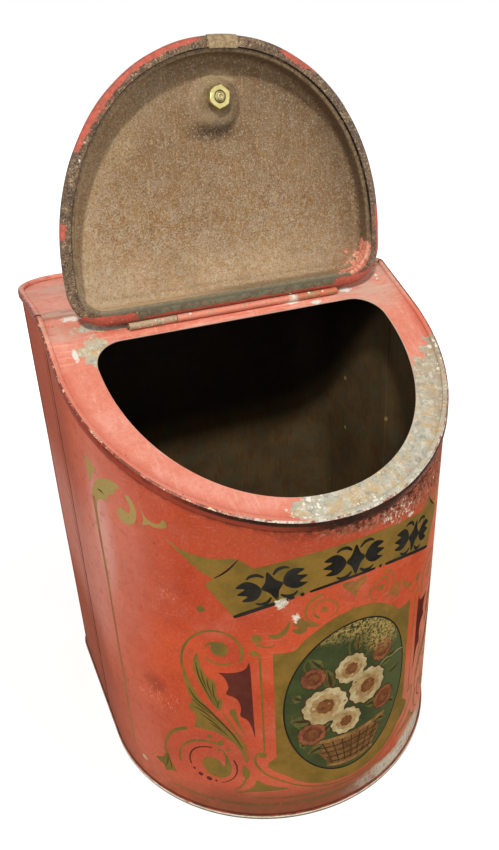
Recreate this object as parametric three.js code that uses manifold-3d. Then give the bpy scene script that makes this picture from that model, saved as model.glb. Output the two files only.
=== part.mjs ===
import * as THREE from 'three';
import Module from 'manifold-3d';
import { mergeVertices } from 'three/addons/utils/BufferGeometryUtils.js';

const wasm = await Module();
wasm.setup();

// Driving dimensions of the bin, in millimetres: X is across, -Y is the bowed front, +Z is up
const BIN_WIDTH = 254;
const BIN_DEPTH = 265;
const SHELF_HEIGHT = 326;
const SHELF_DEPTH = 99.4;
const SLOPE_ANGLE = THREE.MathUtils.degToRad(28.3);
const BOW_DEPTH = 124.6;
const BACK_CORNER_RADIUS = 31.8;
const SHEET = 0.8;
const GAP = 0.3;
const CUTTER_OVERRUN = 20;

// Side seams, where a folded margin of the back sheet is tucked behind the front sheet
const SEAM_FROM_CREASE = 9.5;
const SEAM_LAP = 8;
const SEAM_ROOT = 6;
const SEAM_JOGGLE = 4;
const SEAM_TAB_FOOT = 8;
const SEAM_TAB_HEAD = 4;

// Binding over the top edge of the walls
const TOP_BEAD_OUT = 1.8;
const TOP_BEAD_IN = 2.4;
const TOP_BEAD_DROP = 3.2;
const TOP_BEAD_RISE = 2.9;
const TOP_BEAD_CROWN = 1.2;
const TOP_BEAD_CHAMFER = 0.7;
const WALL_ABOVE_PLATE = 1.1;
const CREASE_SNIP = 1.6;

// Binding round the foot of the walls, which the bin stands on
const FOOT_OUT = 1.2;
const FOOT_HEIGHT = 3.6;
const FOOT_FLOOR = 1.2;
const FOOT_LEG = 0.9;
const FOOT_CHAMFER = 0.5;

// Opening in the slope: distances run down the slope from the crease
const OPENING_SIDE_MARGIN = 24.25;
const OPENING_START = 29.3;
const OPENING_CORNER_RADIUS = 20.1;
const OPENING_BOW_START = 49.6;
const OPENING_BOW_DEPTH = 121;
const HEM_WIDTH = 5;
const HEM_DEPTH = 1.5;

// Wire hinge: the bin's leaf curls round the middle of the wire, the lid's straps round its ends
const HINGE_FROM_CREASE = 22;
const WIRE_RADIUS = 1.2;
const WIRE_END = 1.2;
const CURL_SHEET = 0.8;
const CURL_TURN = THREE.MathUtils.degToRad(295);
const HINGE_FROM_CORNER = 10.9;
const STRAP_WIDTH = 31.5;
const KNUCKLE_GAP = 0.5;
const LEAF_LENGTH = 14;
const STRAP_FOOT_START = 1.2;

// Lid: a shallow D-shaped pan with a flange and a binding folded over the flange
const LID_LEAN = THREE.MathUtils.degToRad(3.7);
const LID_PAST_OPENING = 8.05;
const LID_EDGE_FROM_WIRE = 2.8;
const LID_BOW_START = 35.6;
const LID_BOW_DEPTH = 125.4;
const LID_CORNER_RADIUS = 24.4;
const PAN_HEIGHT = 15.5;
const PAN_COVE = 5;
const RIM_WIDTH = 8.2;
const BAND_WIDTH = 5.6;
const BAND_HEIGHT = 4.6;
const LAP_LENGTH = 19;
const LAP_CENTRE = 2.4;
const LAP_RAISE = 0.5;
const LAP_SINK = 0.3;

// Knob with its stud and nut, seated in a dimple of the lid
const KNOB_FROM_RIM = 32.5;
const DIMPLE_OFFSET = 4;
const DIMPLE_RADIUS = 18.5;
const DIMPLE_FLAT = 11.5;
const DIMPLE_DEPTH = 4;
const KNOB_RADIUS = 11;
const KNOB_HEIGHT = 25;
const KNOB_HEAD = 15;
const KNOB_NECK = 4.6;
const KNOB_BASE_RADIUS = 7.5;
const KNOB_BASE = 2;
const STUD_RADIUS = 3.1;
const STUD_IN_KNOB = 9;
const STUD_PAST_NUT = 1.6;
const STUD_DOME = 1;
const NUT_ACROSS_FLATS = 12.7;
const NUT_THICKNESS = 5;
const NUT_CHAMFER = 0.6;
const NUT_TURN = THREE.MathUtils.degToRad(8);

// Steps of the curves, and how full each bow is, where 2 is a plain ellipse
const BOW_STEPS = 22;
const CORNER_STEPS = 7;
const CURL_STEPS = 18;
const ROUND_STEPS = 36;
const CROWN_STEPS = 5;
const LAP_STEPS = 4;
const BODY_FULLNESS = 1.98;
const OPENING_FULLNESS = 2.06;
const LID_FULLNESS = 2.07;

// Sizes that follow from the ones above
const FRONT_Y = -BIN_DEPTH / 2;
const BACK_Y = BIN_DEPTH / 2;
const CREASE_Y = BACK_Y - SHELF_DEPTH;
const SEAM_Y = CREASE_Y - SEAM_FROM_CREASE;
const INSIDE_WALL = SHEET + GAP;
const OPENING_WIDTH = BIN_WIDTH - 2 * OPENING_SIDE_MARGIN;
const LID_WIDTH = OPENING_WIDTH + 2 * LID_PAST_OPENING;
const HINGE_LENGTH = LID_WIDTH - 2 * (LID_CORNER_RADIUS + HINGE_FROM_CORNER);
const KNOB_FROM_WIRE = LID_BOW_START + LID_BOW_DEPTH - KNOB_FROM_RIM;
const WIRE_CLEAR = WIRE_RADIUS + GAP;
const KNUCKLE_RADIUS = WIRE_CLEAR + CURL_SHEET;
const WIRE_ABOVE_SLOPE = KNUCKLE_RADIUS + GAP;
const WIRE_Y = CREASE_Y - HINGE_FROM_CREASE * Math.cos(SLOPE_ANGLE) - WIRE_ABOVE_SLOPE * Math.sin(SLOPE_ANGLE);
const WIRE_Z = SHELF_HEIGHT - HINGE_FROM_CREASE * Math.sin(SLOPE_ANGLE) + WIRE_ABOVE_SLOPE * Math.cos(SLOPE_ANGLE);
const BAND_HALF = BAND_HEIGHT / 2;
const PAN_TOP = PAN_HEIGHT - BAND_HALF;
const DIMPLE_SEAT = PAN_TOP - DIMPLE_DEPTH;
const NUT_TOP = DIMPLE_SEAT - SHEET - GAP;
const NUT_BOTTOM = NUT_TOP - NUT_THICKNESS;
const KNOB_SEAT = DIMPLE_SEAT + GAP;
const STUD_CLEAR = STUD_RADIUS + GAP;

const PAINT_RED = 0xb8452c;
const PAINT_SALMON = 0xe0896c;
const OLD_TIN = 0x8b8372;
const RUSTY_TIN = 0x7a6248;
const BRASS = 0xc9b45f;

// Heights that a section stands on: the ground, and the upper face of the bent top plate
function ground() {
  return 0;
}

function plateTop(y) {
  return SHELF_HEIGHT - Math.max(0, CREASE_Y - y) * Math.tan(SLOPE_ANGLE);
}

// Station on the bow at a share of the half width, from -1 on the left to 1 on the right
function bowStation({ halfWidth, bowStart, bowDepth, fullness }, acrossShare) {
  const across = Math.abs(acrossShare);
  const along = (1 - across ** fullness) ** (1 / fullness);
  const nx = (Math.sign(acrossShare) * across ** (fullness - 1)) / halfWidth;
  const ny = -(along ** (fullness - 1)) / bowDepth;
  const normal = new THREE.Vector2(nx, ny).normalize();
  return { x: halfWidth * acrossShare, y: bowStart - bowDepth * along, nx: normal.x, ny: normal.y };
}

// Station on the left at a given y, on the straight side or, in front of it, on the bow
function leftStation(shape, y) {
  const along = Math.max(0, (shape.bowStart - y) / shape.bowDepth);
  const across = (1 - along ** shape.fullness) ** (1 / shape.fullness);
  return { ...bowStation(shape, -across), y };
}

// Left half of a D outline, from the middle of its flat back to the middle of its bow
function halfOutline(shape) {
  const { halfWidth, back, corner, marks = [] } = shape;
  const half = [{ x: 0, y: back, nx: 0, ny: 1 }];
  for (let i = 0; i <= CORNER_STEPS; i++) {
    const turn = (Math.PI / 2) * (1 + i / CORNER_STEPS);
    const nx = Math.cos(turn);
    const ny = Math.sin(turn);
    half.push({ x: corner - halfWidth + corner * nx, y: back - corner + corner * ny, nx, ny });
  }
  const side = marks.map((y) => leftStation(shape, y));
  for (let i = 0; i < BOW_STEPS; i++) {
    const turn = (Math.PI / 2) * (i / BOW_STEPS);
    side.push(bowStation(shape, -(Math.cos(turn) ** (2 / shape.fullness))));
  }
  side.sort((a, b) => b.y - a.y);
  half.push(...side, bowStation(shape, 0));
  return half;
}

// Whole D outline, anticlockwise from the middle of its back, with the outward normal at each station
function outline(shape) {
  const left = halfOutline(shape);
  const right = left.slice(1, -1).reverse().map((p) => ({ ...p, x: -p.x, nx: -p.nx }));
  return [...left, ...right];
}

function beside(station, out) {
  return new THREE.Vector2(station.x + out * station.nx, station.y + out * station.ny);
}

// Closed mesh from its corners and faces, turned so that its faces point out
function closedMesh(positions, faces) {
  const [a, b, c] = [new THREE.Vector3(), new THREE.Vector3(), new THREE.Vector3()];
  let volume = 0;
  for (const [i, j, k] of faces) {
    a.fromArray(positions, 3 * i);
    b.fromArray(positions, 3 * j);
    c.fromArray(positions, 3 * k);
    volume += a.dot(b.cross(c));
  }
  const turned = volume > 0 ? faces : faces.map(([i, j, k]) => [k, j, i]);
  const geometry = new THREE.BufferGeometry();
  geometry.setAttribute('position', new THREE.Float32BufferAttribute(positions, 3));
  geometry.setIndex(turned.flat());
  return geometry;
}

// Carries a section along the stations; each of its points is [outward, upward, height it stands on]
function sweep(stations, section, closed) {
  const size = section.length;
  const positions = [];
  for (const station of stations) {
    for (const [out, up, height] of section) {
      const p = beside(station, out);
      positions.push(p.x, p.y, height(p.y) + up);
    }
  }
  const faces = [];
  const spans = closed ? stations.length : stations.length - 1;
  for (let i = 0; i < spans; i++) {
    const here = i * size;
    const next = ((i + 1) % stations.length) * size;
    for (let j = 0; j < size; j++) {
      const k = (j + 1) % size;
      faces.push([here + j, here + k, next + k], [here + j, next + k, next + j]);
    }
  }
  if (!closed) {
    const last = (stations.length - 1) * size;
    for (const [i, j, k] of sectionFaces(section)) {
      faces.push([k, j, i], [last + i, last + j, last + k]);
    }
  }
  return closedMesh(positions, faces);
}

// Triangles that close a section, running the same way round as the section does
function sectionFaces(section) {
  const flat = section.map(([out, up, height]) => new THREE.Vector2(out, height(0) + up));
  const faces = THREE.ShapeUtils.triangulateShape(flat, []);
  return THREE.ShapeUtils.isClockWise(flat) ? faces.map(([i, j, k]) => [k, j, i]) : faces;
}

// Solid of D-shaped levels, each [outward, height], closed by flat faces below and above
function stack(stations, levels) {
  const size = stations.length;
  const positions = [];
  for (const [out, height] of levels) {
    for (const station of stations) {
      const p = beside(station, out);
      positions.push(p.x, p.y, height);
    }
  }
  const faces = [];
  for (let i = 0; i < levels.length - 1; i++) {
    for (let j = 0; j < size; j++) {
      const k = (j + 1) % size;
      const here = i * size;
      const above = here + size;
      faces.push([here + j, here + k, above + k], [here + j, above + k, above + j]);
    }
  }
  const top = (levels.length - 1) * size;
  const flat = stations.map((station) => beside(station, 0));
  for (const [i, j, k] of THREE.ShapeUtils.triangulateShape(flat, [])) {
    faces.push([k, j, i], [top + i, top + j, top + k]);
  }
  return closedMesh(positions, faces);
}

function solid(geometry) {
  const plain = geometry.clone();
  plain.deleteAttribute('normal');
  plain.deleteAttribute('uv');
  const merged = mergeVertices(plain);
  const vertProperties = new Float32Array(merged.attributes.position.array);
  const triVerts = new Uint32Array(merged.index.array);
  return new wasm.Manifold(new wasm.Mesh({ numProp: 3, vertProperties, triVerts }));
}

function geometryOf(manifold) {
  const result = manifold.getMesh();
  const geometry = new THREE.BufferGeometry();
  geometry.setAttribute('position', new THREE.BufferAttribute(new Float32Array(result.vertProperties), 3));
  geometry.setIndex(new THREE.BufferAttribute(new Uint32Array(result.triVerts), 1));
  return geometry;
}

function arc(from, to, steps, place) {
  return Array.from({ length: steps + 1 }, (_, i) => place(from + (to - from) * (i / steps)));
}

// Piece of constant section that runs along X, its section drawn as (y, z)
function alongX(points, length) {
  const geometry = new THREE.ExtrudeGeometry(new THREE.Shape(points), { depth: length, bevelEnabled: false });
  geometry.translate(0, 0, -length / 2);
  geometry.rotateX(Math.PI / 2);
  return geometry.rotateZ(Math.PI / 2);
}

// Piece turned about Z, its profile drawn as (radius, z)
function aboutZ(points) {
  const profile = points.map(([radius, z]) => new THREE.Vector2(radius, z));
  return new THREE.LatheGeometry(profile, ROUND_STEPS).rotateX(Math.PI / 2);
}

// Lays a piece drawn flat, with the crease at Y zero, on the slope
function ontoSlope(geometry) {
  return geometry.rotateX(SLOPE_ANGLE).translate(0, CREASE_Y, SHELF_HEIGHT);
}

const bodyShape = {
  halfWidth: BIN_WIDTH / 2,
  back: BACK_Y,
  corner: BACK_CORNER_RADIUS,
  bowStart: FRONT_Y + BOW_DEPTH,
  bowDepth: BOW_DEPTH,
  fullness: BODY_FULLNESS,
  marks: [CREASE_Y, SEAM_Y + GAP, SEAM_Y],
};
const bodyStations = outline(bodyShape);

const openingStations = outline({
  halfWidth: OPENING_WIDTH / 2,
  back: -OPENING_START,
  corner: OPENING_CORNER_RADIUS,
  bowStart: -OPENING_BOW_START,
  bowDepth: OPENING_BOW_DEPTH,
  fullness: OPENING_FULLNESS,
});

const lidShape = {
  halfWidth: LID_WIDTH / 2,
  back: -LID_EDGE_FROM_WIRE,
  corner: LID_CORNER_RADIUS,
  bowStart: -LID_BOW_START,
  bowDepth: LID_BOW_DEPTH,
  fullness: LID_FULLNESS,
};
const lidStations = outline(lidShape);

const wallSection = [
  [-SHEET, FOOT_FLOOR + GAP, ground],
  [0, FOOT_FLOOR + GAP, ground],
  [0, WALL_ABOVE_PLATE, plateTop],
  [-SHEET, WALL_ABOVE_PLATE, plateTop],
];

// Front sheet: one sheet bent round the bow, from the left side seam to the right one
function frontSheet() {
  return sweep(bodyStations.filter((p) => p.y <= SEAM_Y), wallSection, false);
}

// Margin of the back sheet that steps in behind the front sheet at one side seam
function seamTab(side) {
  const steps = [
    [SEAM_Y + SEAM_ROOT, SHEET / 2],
    [SEAM_Y + SEAM_JOGGLE, SHEET / 2],
    [SEAM_Y + GAP, INSIDE_WALL],
    [SEAM_Y - SEAM_LAP, INSIDE_WALL],
  ];
  const stations = steps.map(([y, inward]) => {
    const wall = leftStation(bodyShape, y);
    const p = beside(wall, -inward);
    return { x: -side * p.x, y: p.y, nx: -side * wall.nx, ny: wall.ny };
  });
  const section = [
    [-SHEET, SEAM_TAB_FOOT, ground],
    [0, SEAM_TAB_FOOT, ground],
    [0, -SEAM_TAB_HEAD, plateTop],
    [-SHEET, -SEAM_TAB_HEAD, plateTop],
  ];
  return solid(sweep(stations, section, false));
}

// Back sheet: the flat back, its two round corners and the tucked margins at the side seams
function backSheet() {
  const behind = bodyStations.filter((p) => p.y > SEAM_Y);
  const stations = [...behind.filter((p) => p.x > 0), ...behind.filter((p) => p.x <= 0)];
  const wall = solid(sweep(stations, wallSection, false));
  return geometryOf(wall.add(seamTab(-1)).add(seamTab(1)));
}

// Bottom panel: flat sheet that lies on the inner leg of the foot binding
function bottomPanel() {
  const seat = FOOT_HEIGHT + GAP;
  return stack(bodyStations, [
    [-INSIDE_WALL, seat],
    [-INSIDE_WALL, seat + SHEET],
  ]);
}

// Side view of the bent top plate, as (y, z), running past the walls at both ends
function topPlateProfile() {
  const frontY = FRONT_Y - CUTTER_OVERRUN;
  const backY = BACK_Y + CUTTER_OVERRUN;
  return [
    new THREE.Vector2(backY, SHELF_HEIGHT),
    new THREE.Vector2(CREASE_Y, SHELF_HEIGHT),
    new THREE.Vector2(frontY, plateTop(frontY)),
    new THREE.Vector2(frontY, plateTop(frontY) - SHEET / Math.cos(SLOPE_ANGLE)),
    new THREE.Vector2(CREASE_Y + SHEET * Math.tan(SLOPE_ANGLE / 2), SHELF_HEIGHT - SHEET),
    new THREE.Vector2(backY, SHELF_HEIGHT - SHEET),
  ];
}

// Folded edge round the opening: a second thickness of sheet under the plate, with a round nose
function openingHem() {
  const radius = HEM_DEPTH / 2;
  const nose = arc(-Math.PI / 2, -1.5 * Math.PI, CROWN_STEPS, (turn) => [
    radius + radius * Math.cos(turn),
    radius * Math.sin(turn) - SHEET,
    ground,
  ]);
  const section = [...nose, [HEM_WIDTH, radius - SHEET, ground], [HEM_WIDTH, -radius - SHEET, ground]];
  return solid(ontoSlope(sweep(openingStations, section, true)));
}

// Top plate: shelf and slope bent from one sheet, with the hemmed D-shaped opening in the slope
function topPanel() {
  const plate = solid(alongX(topPlateProfile(), BIN_WIDTH));
  const trim = solid(stack(bodyStations, [
    [-INSIDE_WALL, 0],
    [-INSIDE_WALL, SHELF_HEIGHT + CUTTER_OVERRUN],
  ]));
  const hole = solid(ontoSlope(stack(openingStations, [
    [SHEET / 2, -CUTTER_OVERRUN],
    [SHEET / 2, CUTTER_OVERRUN],
  ])));
  return geometryOf(plate.intersect(trim).subtract(hole).add(openingHem()));
}

// Binding folded over the top of the walls, standing above the plate and snipped where the plate bends
function topBead() {
  const middle = (TOP_BEAD_OUT - TOP_BEAD_IN) / 2;
  const reach = (TOP_BEAD_OUT + TOP_BEAD_IN) / 2;
  const crown = arc(0, Math.PI, CROWN_STEPS, (turn) => [
    middle + reach * Math.cos(turn),
    TOP_BEAD_RISE - TOP_BEAD_CROWN + TOP_BEAD_CROWN * Math.sin(turn),
    plateTop,
  ]);
  const section = [
    [GAP, -TOP_BEAD_DROP, plateTop],
    [TOP_BEAD_OUT - TOP_BEAD_CHAMFER, -TOP_BEAD_DROP, plateTop],
    [TOP_BEAD_OUT, TOP_BEAD_CHAMFER - TOP_BEAD_DROP, plateTop],
    ...crown,
    [-TOP_BEAD_IN, GAP, plateTop],
    [-INSIDE_WALL, GAP, plateTop],
    [-INSIDE_WALL, WALL_ABOVE_PLATE + GAP, plateTop],
    [GAP, WALL_ABOVE_PLATE + GAP, plateTop],
  ];
  const snip = new THREE.BoxGeometry(BIN_WIDTH + CUTTER_OVERRUN, CREASE_SNIP, CREASE_SNIP);
  snip.rotateX(Math.PI / 4).translate(0, CREASE_Y, SHELF_HEIGHT + TOP_BEAD_RISE);
  return geometryOf(solid(sweep(bodyStations, section, true)).subtract(solid(snip)));
}

// Binding folded over the foot of the walls, with the flat underside that the bin stands on
function footBead() {
  const inner = -INSIDE_WALL - FOOT_LEG;
  return sweep(bodyStations, [
    [inner, 0, ground],
    [FOOT_OUT - FOOT_CHAMFER, 0, ground],
    [FOOT_OUT, FOOT_CHAMFER, ground],
    [FOOT_OUT, FOOT_HEIGHT - FOOT_CHAMFER, ground],
    [FOOT_OUT - FOOT_CHAMFER, FOOT_HEIGHT, ground],
    [GAP, FOOT_HEIGHT, ground],
    [GAP, FOOT_FLOOR, ground],
    [-INSIDE_WALL, FOOT_FLOOR, ground],
    [-INSIDE_WALL, FOOT_HEIGHT, ground],
    [inner, FOOT_HEIGHT, ground],
  ], true);
}

// Section of a strip curled round the wire; it leaves the curl along +Y on the side given, then follows the tail
function curledStrip(side, tail) {
  const start = Math.PI / 2;
  const onCircle = (radius) => (turn) => [radius * Math.cos(turn), radius * Math.sin(turn)];
  const outside = arc(start, start + CURL_TURN, CURL_STEPS, onCircle(KNUCKLE_RADIUS));
  const inside = arc(start + CURL_TURN, start, CURL_STEPS, onCircle(WIRE_CLEAR));
  return [...outside, ...inside, ...tail].map(([y, z]) => new THREE.Vector2(y, side * z));
}

// Fixed leaf: curled round the middle of the wire and laid up the slope behind it
function hingeLeaf() {
  const section = curledStrip(-1, [
    [LEAF_LENGTH, WIRE_CLEAR],
    [LEAF_LENGTH, KNUCKLE_RADIUS],
  ]);
  const length = HINGE_LENGTH - 2 * (STRAP_WIDTH + KNUCKLE_GAP);
  return alongX(section, length).rotateX(SLOPE_ANGLE).translate(0, WIRE_Y, WIRE_Z);
}

function hingeWire() {
  const length = HINGE_LENGTH + 2 * WIRE_END;
  const geometry = new THREE.CylinderGeometry(WIRE_RADIUS, WIRE_RADIUS, length, CURL_STEPS);
  return geometry.rotateZ(Math.PI / 2).translate(0, WIRE_Y, WIRE_Z);
}

// Lid strap: curled round one end of the wire, cranked behind the binding and soldered to the pan's wall.
// Its heel lands on the slope when the lid leans back by LID_LEAN.
function hingeStrap(side) {
  const tilt = SLOPE_ANGLE + LID_LEAN;
  const heel = (WIRE_ABOVE_SLOPE - GAP + WIRE_CLEAR * Math.cos(tilt)) / Math.sin(tilt);
  const wall = LID_EDGE_FROM_WIRE + RIM_WIDTH - GAP;
  const section = curledStrip(1, [
    [heel, WIRE_CLEAR],
    [heel, wall],
    [STRAP_FOOT_START, wall],
    [STRAP_FOOT_START, wall - CURL_SHEET],
    [heel - CURL_SHEET, wall - CURL_SHEET],
    [heel - CURL_SHEET, KNUCKLE_RADIUS],
  ]);
  const offset = side * (HINGE_LENGTH - STRAP_WIDTH) / 2;
  return alongX(section, STRAP_WIDTH).rotateX(Math.PI / 2).translate(offset, 0, 0);
}

// Wall and top of the pan as a solid, drawn inwards by the sheet's thickness for its hollow
function panBody(inward, lowest) {
  const centre = PAN_TOP - PAN_COVE;
  const cove = arc(0, Math.PI / 2, CROWN_STEPS, (turn) => [
    (PAN_COVE - inward) * Math.cos(turn) - RIM_WIDTH - PAN_COVE,
    centre + (PAN_COVE - inward) * Math.sin(turn),
  ]);
  return solid(stack(lidStations, [[-RIM_WIDTH - inward, lowest], ...cove]));
}

// Dished seat pressed into the pan's top; drawn outwards by the sheet's thickness for the inner bulge
function dimple(outward) {
  const lowest = DIMPLE_SEAT - outward;
  const flank = arc(0, 1, CROWN_STEPS, (share) => [
    DIMPLE_FLAT + (DIMPLE_RADIUS - DIMPLE_FLAT) * share + outward,
    lowest + DIMPLE_DEPTH * (1 - Math.cos(Math.PI * share)) / 2,
  ]);
  const rim = DIMPLE_RADIUS + outward;
  const profile = [[0, lowest], ...flank, [rim, PAN_TOP + PAN_COVE], [0, PAN_TOP + PAN_COVE]];
  return solid(aboutZ(profile).translate(0, DIMPLE_OFFSET - KNOB_FROM_WIRE, 0));
}

// Lid panel: flange, wall, coved top and the dimple that seats the knob, all one pressed sheet
function lidPanel() {
  const flange = solid(sweep(lidStations, [
    [-RIM_WIDTH - SHEET / 2, -SHEET / 2, ground],
    [-SHEET - GAP, -SHEET / 2, ground],
    [-SHEET - GAP, SHEET / 2, ground],
    [-RIM_WIDTH - SHEET / 2, SHEET / 2, ground],
  ], true));
  const outside = panBody(0, -SHEET / 2).add(flange).subtract(dimple(0));
  const hollow = panBody(SHEET, -CUTTER_OVERRUN).subtract(dimple(SHEET));
  const hole = solid(aboutZ([[0, 0], [STUD_CLEAR, 0], [STUD_CLEAR, PAN_TOP + PAN_COVE], [0, PAN_TOP + PAN_COVE]])
    .translate(0, -KNOB_FROM_WIRE, 0));
  return geometryOf(outside.subtract(hollow).subtract(hole));
}

// Half-round section of the folded binding, as far outside its own face as is asked
function bandArc(raise, reach, from, to) {
  return arc(from, to, 2 * CROWN_STEPS, (turn) => [
    (BAND_WIDTH + raise) * Math.cos(turn) - reach,
    (BAND_HALF + raise) * Math.sin(turn),
    ground,
  ]);
}

// Binding folded over the lid's flange, its two ends lapped in the middle of the bow
function lidBand() {
  const ring = sweep(lidStations, [
    ...bandArc(0, BAND_WIDTH, -Math.PI / 2, Math.PI / 2),
    ...bandArc(-SHEET, BAND_WIDTH, Math.PI / 2, -Math.PI / 2),
  ], true);
  const stations = arc(-LAP_LENGTH / 2, LAP_LENGTH / 2, LAP_STEPS, (x) => (
    bowStation(lidShape, (LAP_CENTRE + x) / lidShape.halfWidth)
  ));
  const lap = sweep(stations, [
    ...bandArc(LAP_RAISE, BAND_WIDTH, -Math.PI / 2, Math.PI / 2),
    ...bandArc(-LAP_SINK, BAND_WIDTH, Math.PI / 2, -Math.PI / 2),
  ], false);
  return geometryOf(solid(ring).add(solid(lap)));
}

// Turned knob: round base, waisted neck and flattened ball, bored for its stud
function knob() {
  const headHalf = KNOB_HEAD / 2;
  const neckTurn = Math.acos(KNOB_NECK / KNOB_RADIUS);
  const head = arc(-neckTurn, Math.PI / 2, 2 * CROWN_STEPS, (turn) => [
    KNOB_RADIUS * Math.cos(turn),
    KNOB_HEIGHT - headHalf + headHalf * Math.sin(turn),
  ]);
  head[head.length - 1][0] = 0;
  const profile = [
    [0, STUD_IN_KNOB],
    [STUD_CLEAR, STUD_IN_KNOB],
    [STUD_CLEAR, 0],
    [KNOB_BASE_RADIUS, 0],
    [KNOB_BASE_RADIUS, KNOB_BASE],
    [KNOB_NECK, 2 * KNOB_BASE],
    ...head,
  ];
  return aboutZ(profile).translate(0, -KNOB_FROM_WIRE, KNOB_SEAT);
}

// Threaded stud from the knob's bore through the lid and the nut, with a domed end
function knobStud() {
  const lowest = NUT_BOTTOM - STUD_PAST_NUT;
  const dome = arc(0, Math.PI / 2, CROWN_STEPS, (turn) => [
    STUD_RADIUS * Math.sin(turn),
    lowest + STUD_DOME * (1 - Math.cos(turn)),
  ]);
  const top = KNOB_SEAT + STUD_IN_KNOB - GAP;
  return aboutZ([...dome, [STUD_RADIUS, top], [0, top]]).translate(0, -KNOB_FROM_WIRE, 0);
}

// Hexagonal nut with a round bore and chamfered corners
function knobNut() {
  const corner = NUT_ACROSS_FLATS / Math.sqrt(3);
  const hexagon = new THREE.Shape(arc(0, 5, 5, (k) => (
    new THREE.Vector2(corner * Math.cos(NUT_TURN + k * Math.PI / 3), corner * Math.sin(NUT_TURN + k * Math.PI / 3))
  )));
  hexagon.holes.push(new THREE.Path().absarc(0, 0, STUD_CLEAR, 0, 2 * Math.PI, true));
  const prism = new THREE.ExtrudeGeometry(hexagon, {
    depth: NUT_THICKNESS,
    bevelEnabled: false,
    curveSegments: CURL_STEPS,
  });
  const flat = NUT_ACROSS_FLATS / 2;
  const blank = aboutZ([
    [0, 0],
    [flat, 0],
    [corner, NUT_CHAMFER],
    [corner, NUT_THICKNESS - NUT_CHAMFER],
    [flat, NUT_THICKNESS],
    [0, NUT_THICKNESS],
  ]);
  return geometryOf(solid(prism).intersect(solid(blank))).translate(0, -KNOB_FROM_WIRE, NUT_BOTTOM);
}

function piece(name, geometry, color, metalness, roughness) {
  geometry.computeVertexNormals();
  const mesh = new THREE.Mesh(geometry, new THREE.MeshStandardMaterial({ color, metalness, roughness }));
  mesh.name = name;
  return mesh;
}

const bin = new THREE.Group();
bin.add(piece('front_sheet', frontSheet(), PAINT_RED, 0.1, 0.5));
bin.add(piece('back_sheet', backSheet(), PAINT_RED, 0.1, 0.5));
bin.add(piece('bottom_panel', bottomPanel(), OLD_TIN, 0.6, 0.6));
bin.add(piece('top_panel', topPanel(), PAINT_SALMON, 0.1, 0.5));
bin.add(piece('top_seam_bead', topBead(), PAINT_RED, 0.1, 0.5));
bin.add(piece('foot_bead', footBead(), OLD_TIN, 0.6, 0.5));
bin.add(piece('hinge_leaf', hingeLeaf(), PAINT_SALMON, 0.1, 0.5));
bin.add(piece('hinge_wire', hingeWire(), OLD_TIN, 0.8, 0.4));

// The lid is drawn lying shut, with its hinge wire along X at its origin, and stands open at rest
const lid = new THREE.Group();
lid.position.set(0, WIRE_Y, WIRE_Z);
lid.rotation.x = -Math.PI / 2 - LID_LEAN;
lid.add(piece('lid_panel', lidPanel(), RUSTY_TIN, 0.4, 0.7));
lid.add(piece('lid_rim_band', lidBand(), RUSTY_TIN, 0.3, 0.6));
lid.add(piece('hinge_strap_left', hingeStrap(-1), OLD_TIN, 0.5, 0.5));
lid.add(piece('hinge_strap_right', hingeStrap(1), OLD_TIN, 0.5, 0.5));
lid.add(piece('lid_knob', knob(), BRASS, 0.9, 0.3));
lid.add(piece('knob_stud', knobStud(), BRASS, 0.9, 0.3));
lid.add(piece('knob_nut', knobNut(), BRASS, 0.9, 0.3));

const teaBin = new THREE.Group();
teaBin.add(bin, lid);

export default teaBin;
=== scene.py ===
"""Looks of the tea bin: fine tinware meshes, stencilled paint, wear, camera and lights."""

import math

import bmesh
import bpy
import numpy as np
from mathutils import Matrix, Vector, noise
from mathutils.geometry import delaunay_2d_cdt


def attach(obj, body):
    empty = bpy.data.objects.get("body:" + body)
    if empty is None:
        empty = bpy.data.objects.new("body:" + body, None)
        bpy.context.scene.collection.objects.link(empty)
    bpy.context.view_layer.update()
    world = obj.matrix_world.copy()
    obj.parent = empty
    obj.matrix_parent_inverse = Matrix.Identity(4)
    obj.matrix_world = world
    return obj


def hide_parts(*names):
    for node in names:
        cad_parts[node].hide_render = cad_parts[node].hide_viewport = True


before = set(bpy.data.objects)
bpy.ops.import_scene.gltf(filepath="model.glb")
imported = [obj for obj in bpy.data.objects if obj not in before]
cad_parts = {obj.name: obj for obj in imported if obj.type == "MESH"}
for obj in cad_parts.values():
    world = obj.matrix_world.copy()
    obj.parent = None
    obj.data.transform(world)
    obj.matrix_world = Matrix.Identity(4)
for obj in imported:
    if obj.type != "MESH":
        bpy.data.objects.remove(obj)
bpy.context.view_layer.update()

MM = 0.001

# Sizes of the bin, in millimetres, as in the CAD model
BIN_WIDTH = 254.0
FRONT_Y = -132.5
BACK_Y = 132.5
SHELF_HEIGHT = 326.0
CREASE_Y = BACK_Y - 99.4
SLOPE = math.radians(28.3)
BEND_SOFT = 1.6
BOW_DEPTH = 124.6
BOW_START_Y = FRONT_Y + BOW_DEPTH
BACK_CORNER = 31.8
BODY_FULLNESS = 1.98
SHEET = 0.8
GAP = 0.3
INSIDE_WALL = SHEET + GAP
SEAM_Y = CREASE_Y - 9.5
WALL_FOOT = 1.5
WALL_ABOVE_PLATE = 1.1

OPENING = dict(half_width=102.75, back=-29.3, corner=20.1, bow_start=-49.6, bow_depth=121.0, fullness=2.06)
LID_OUTLINE = dict(half_width=110.8, back=-2.8, corner=24.4, bow_start=-35.6, bow_depth=125.4, fullness=2.07)

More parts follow.
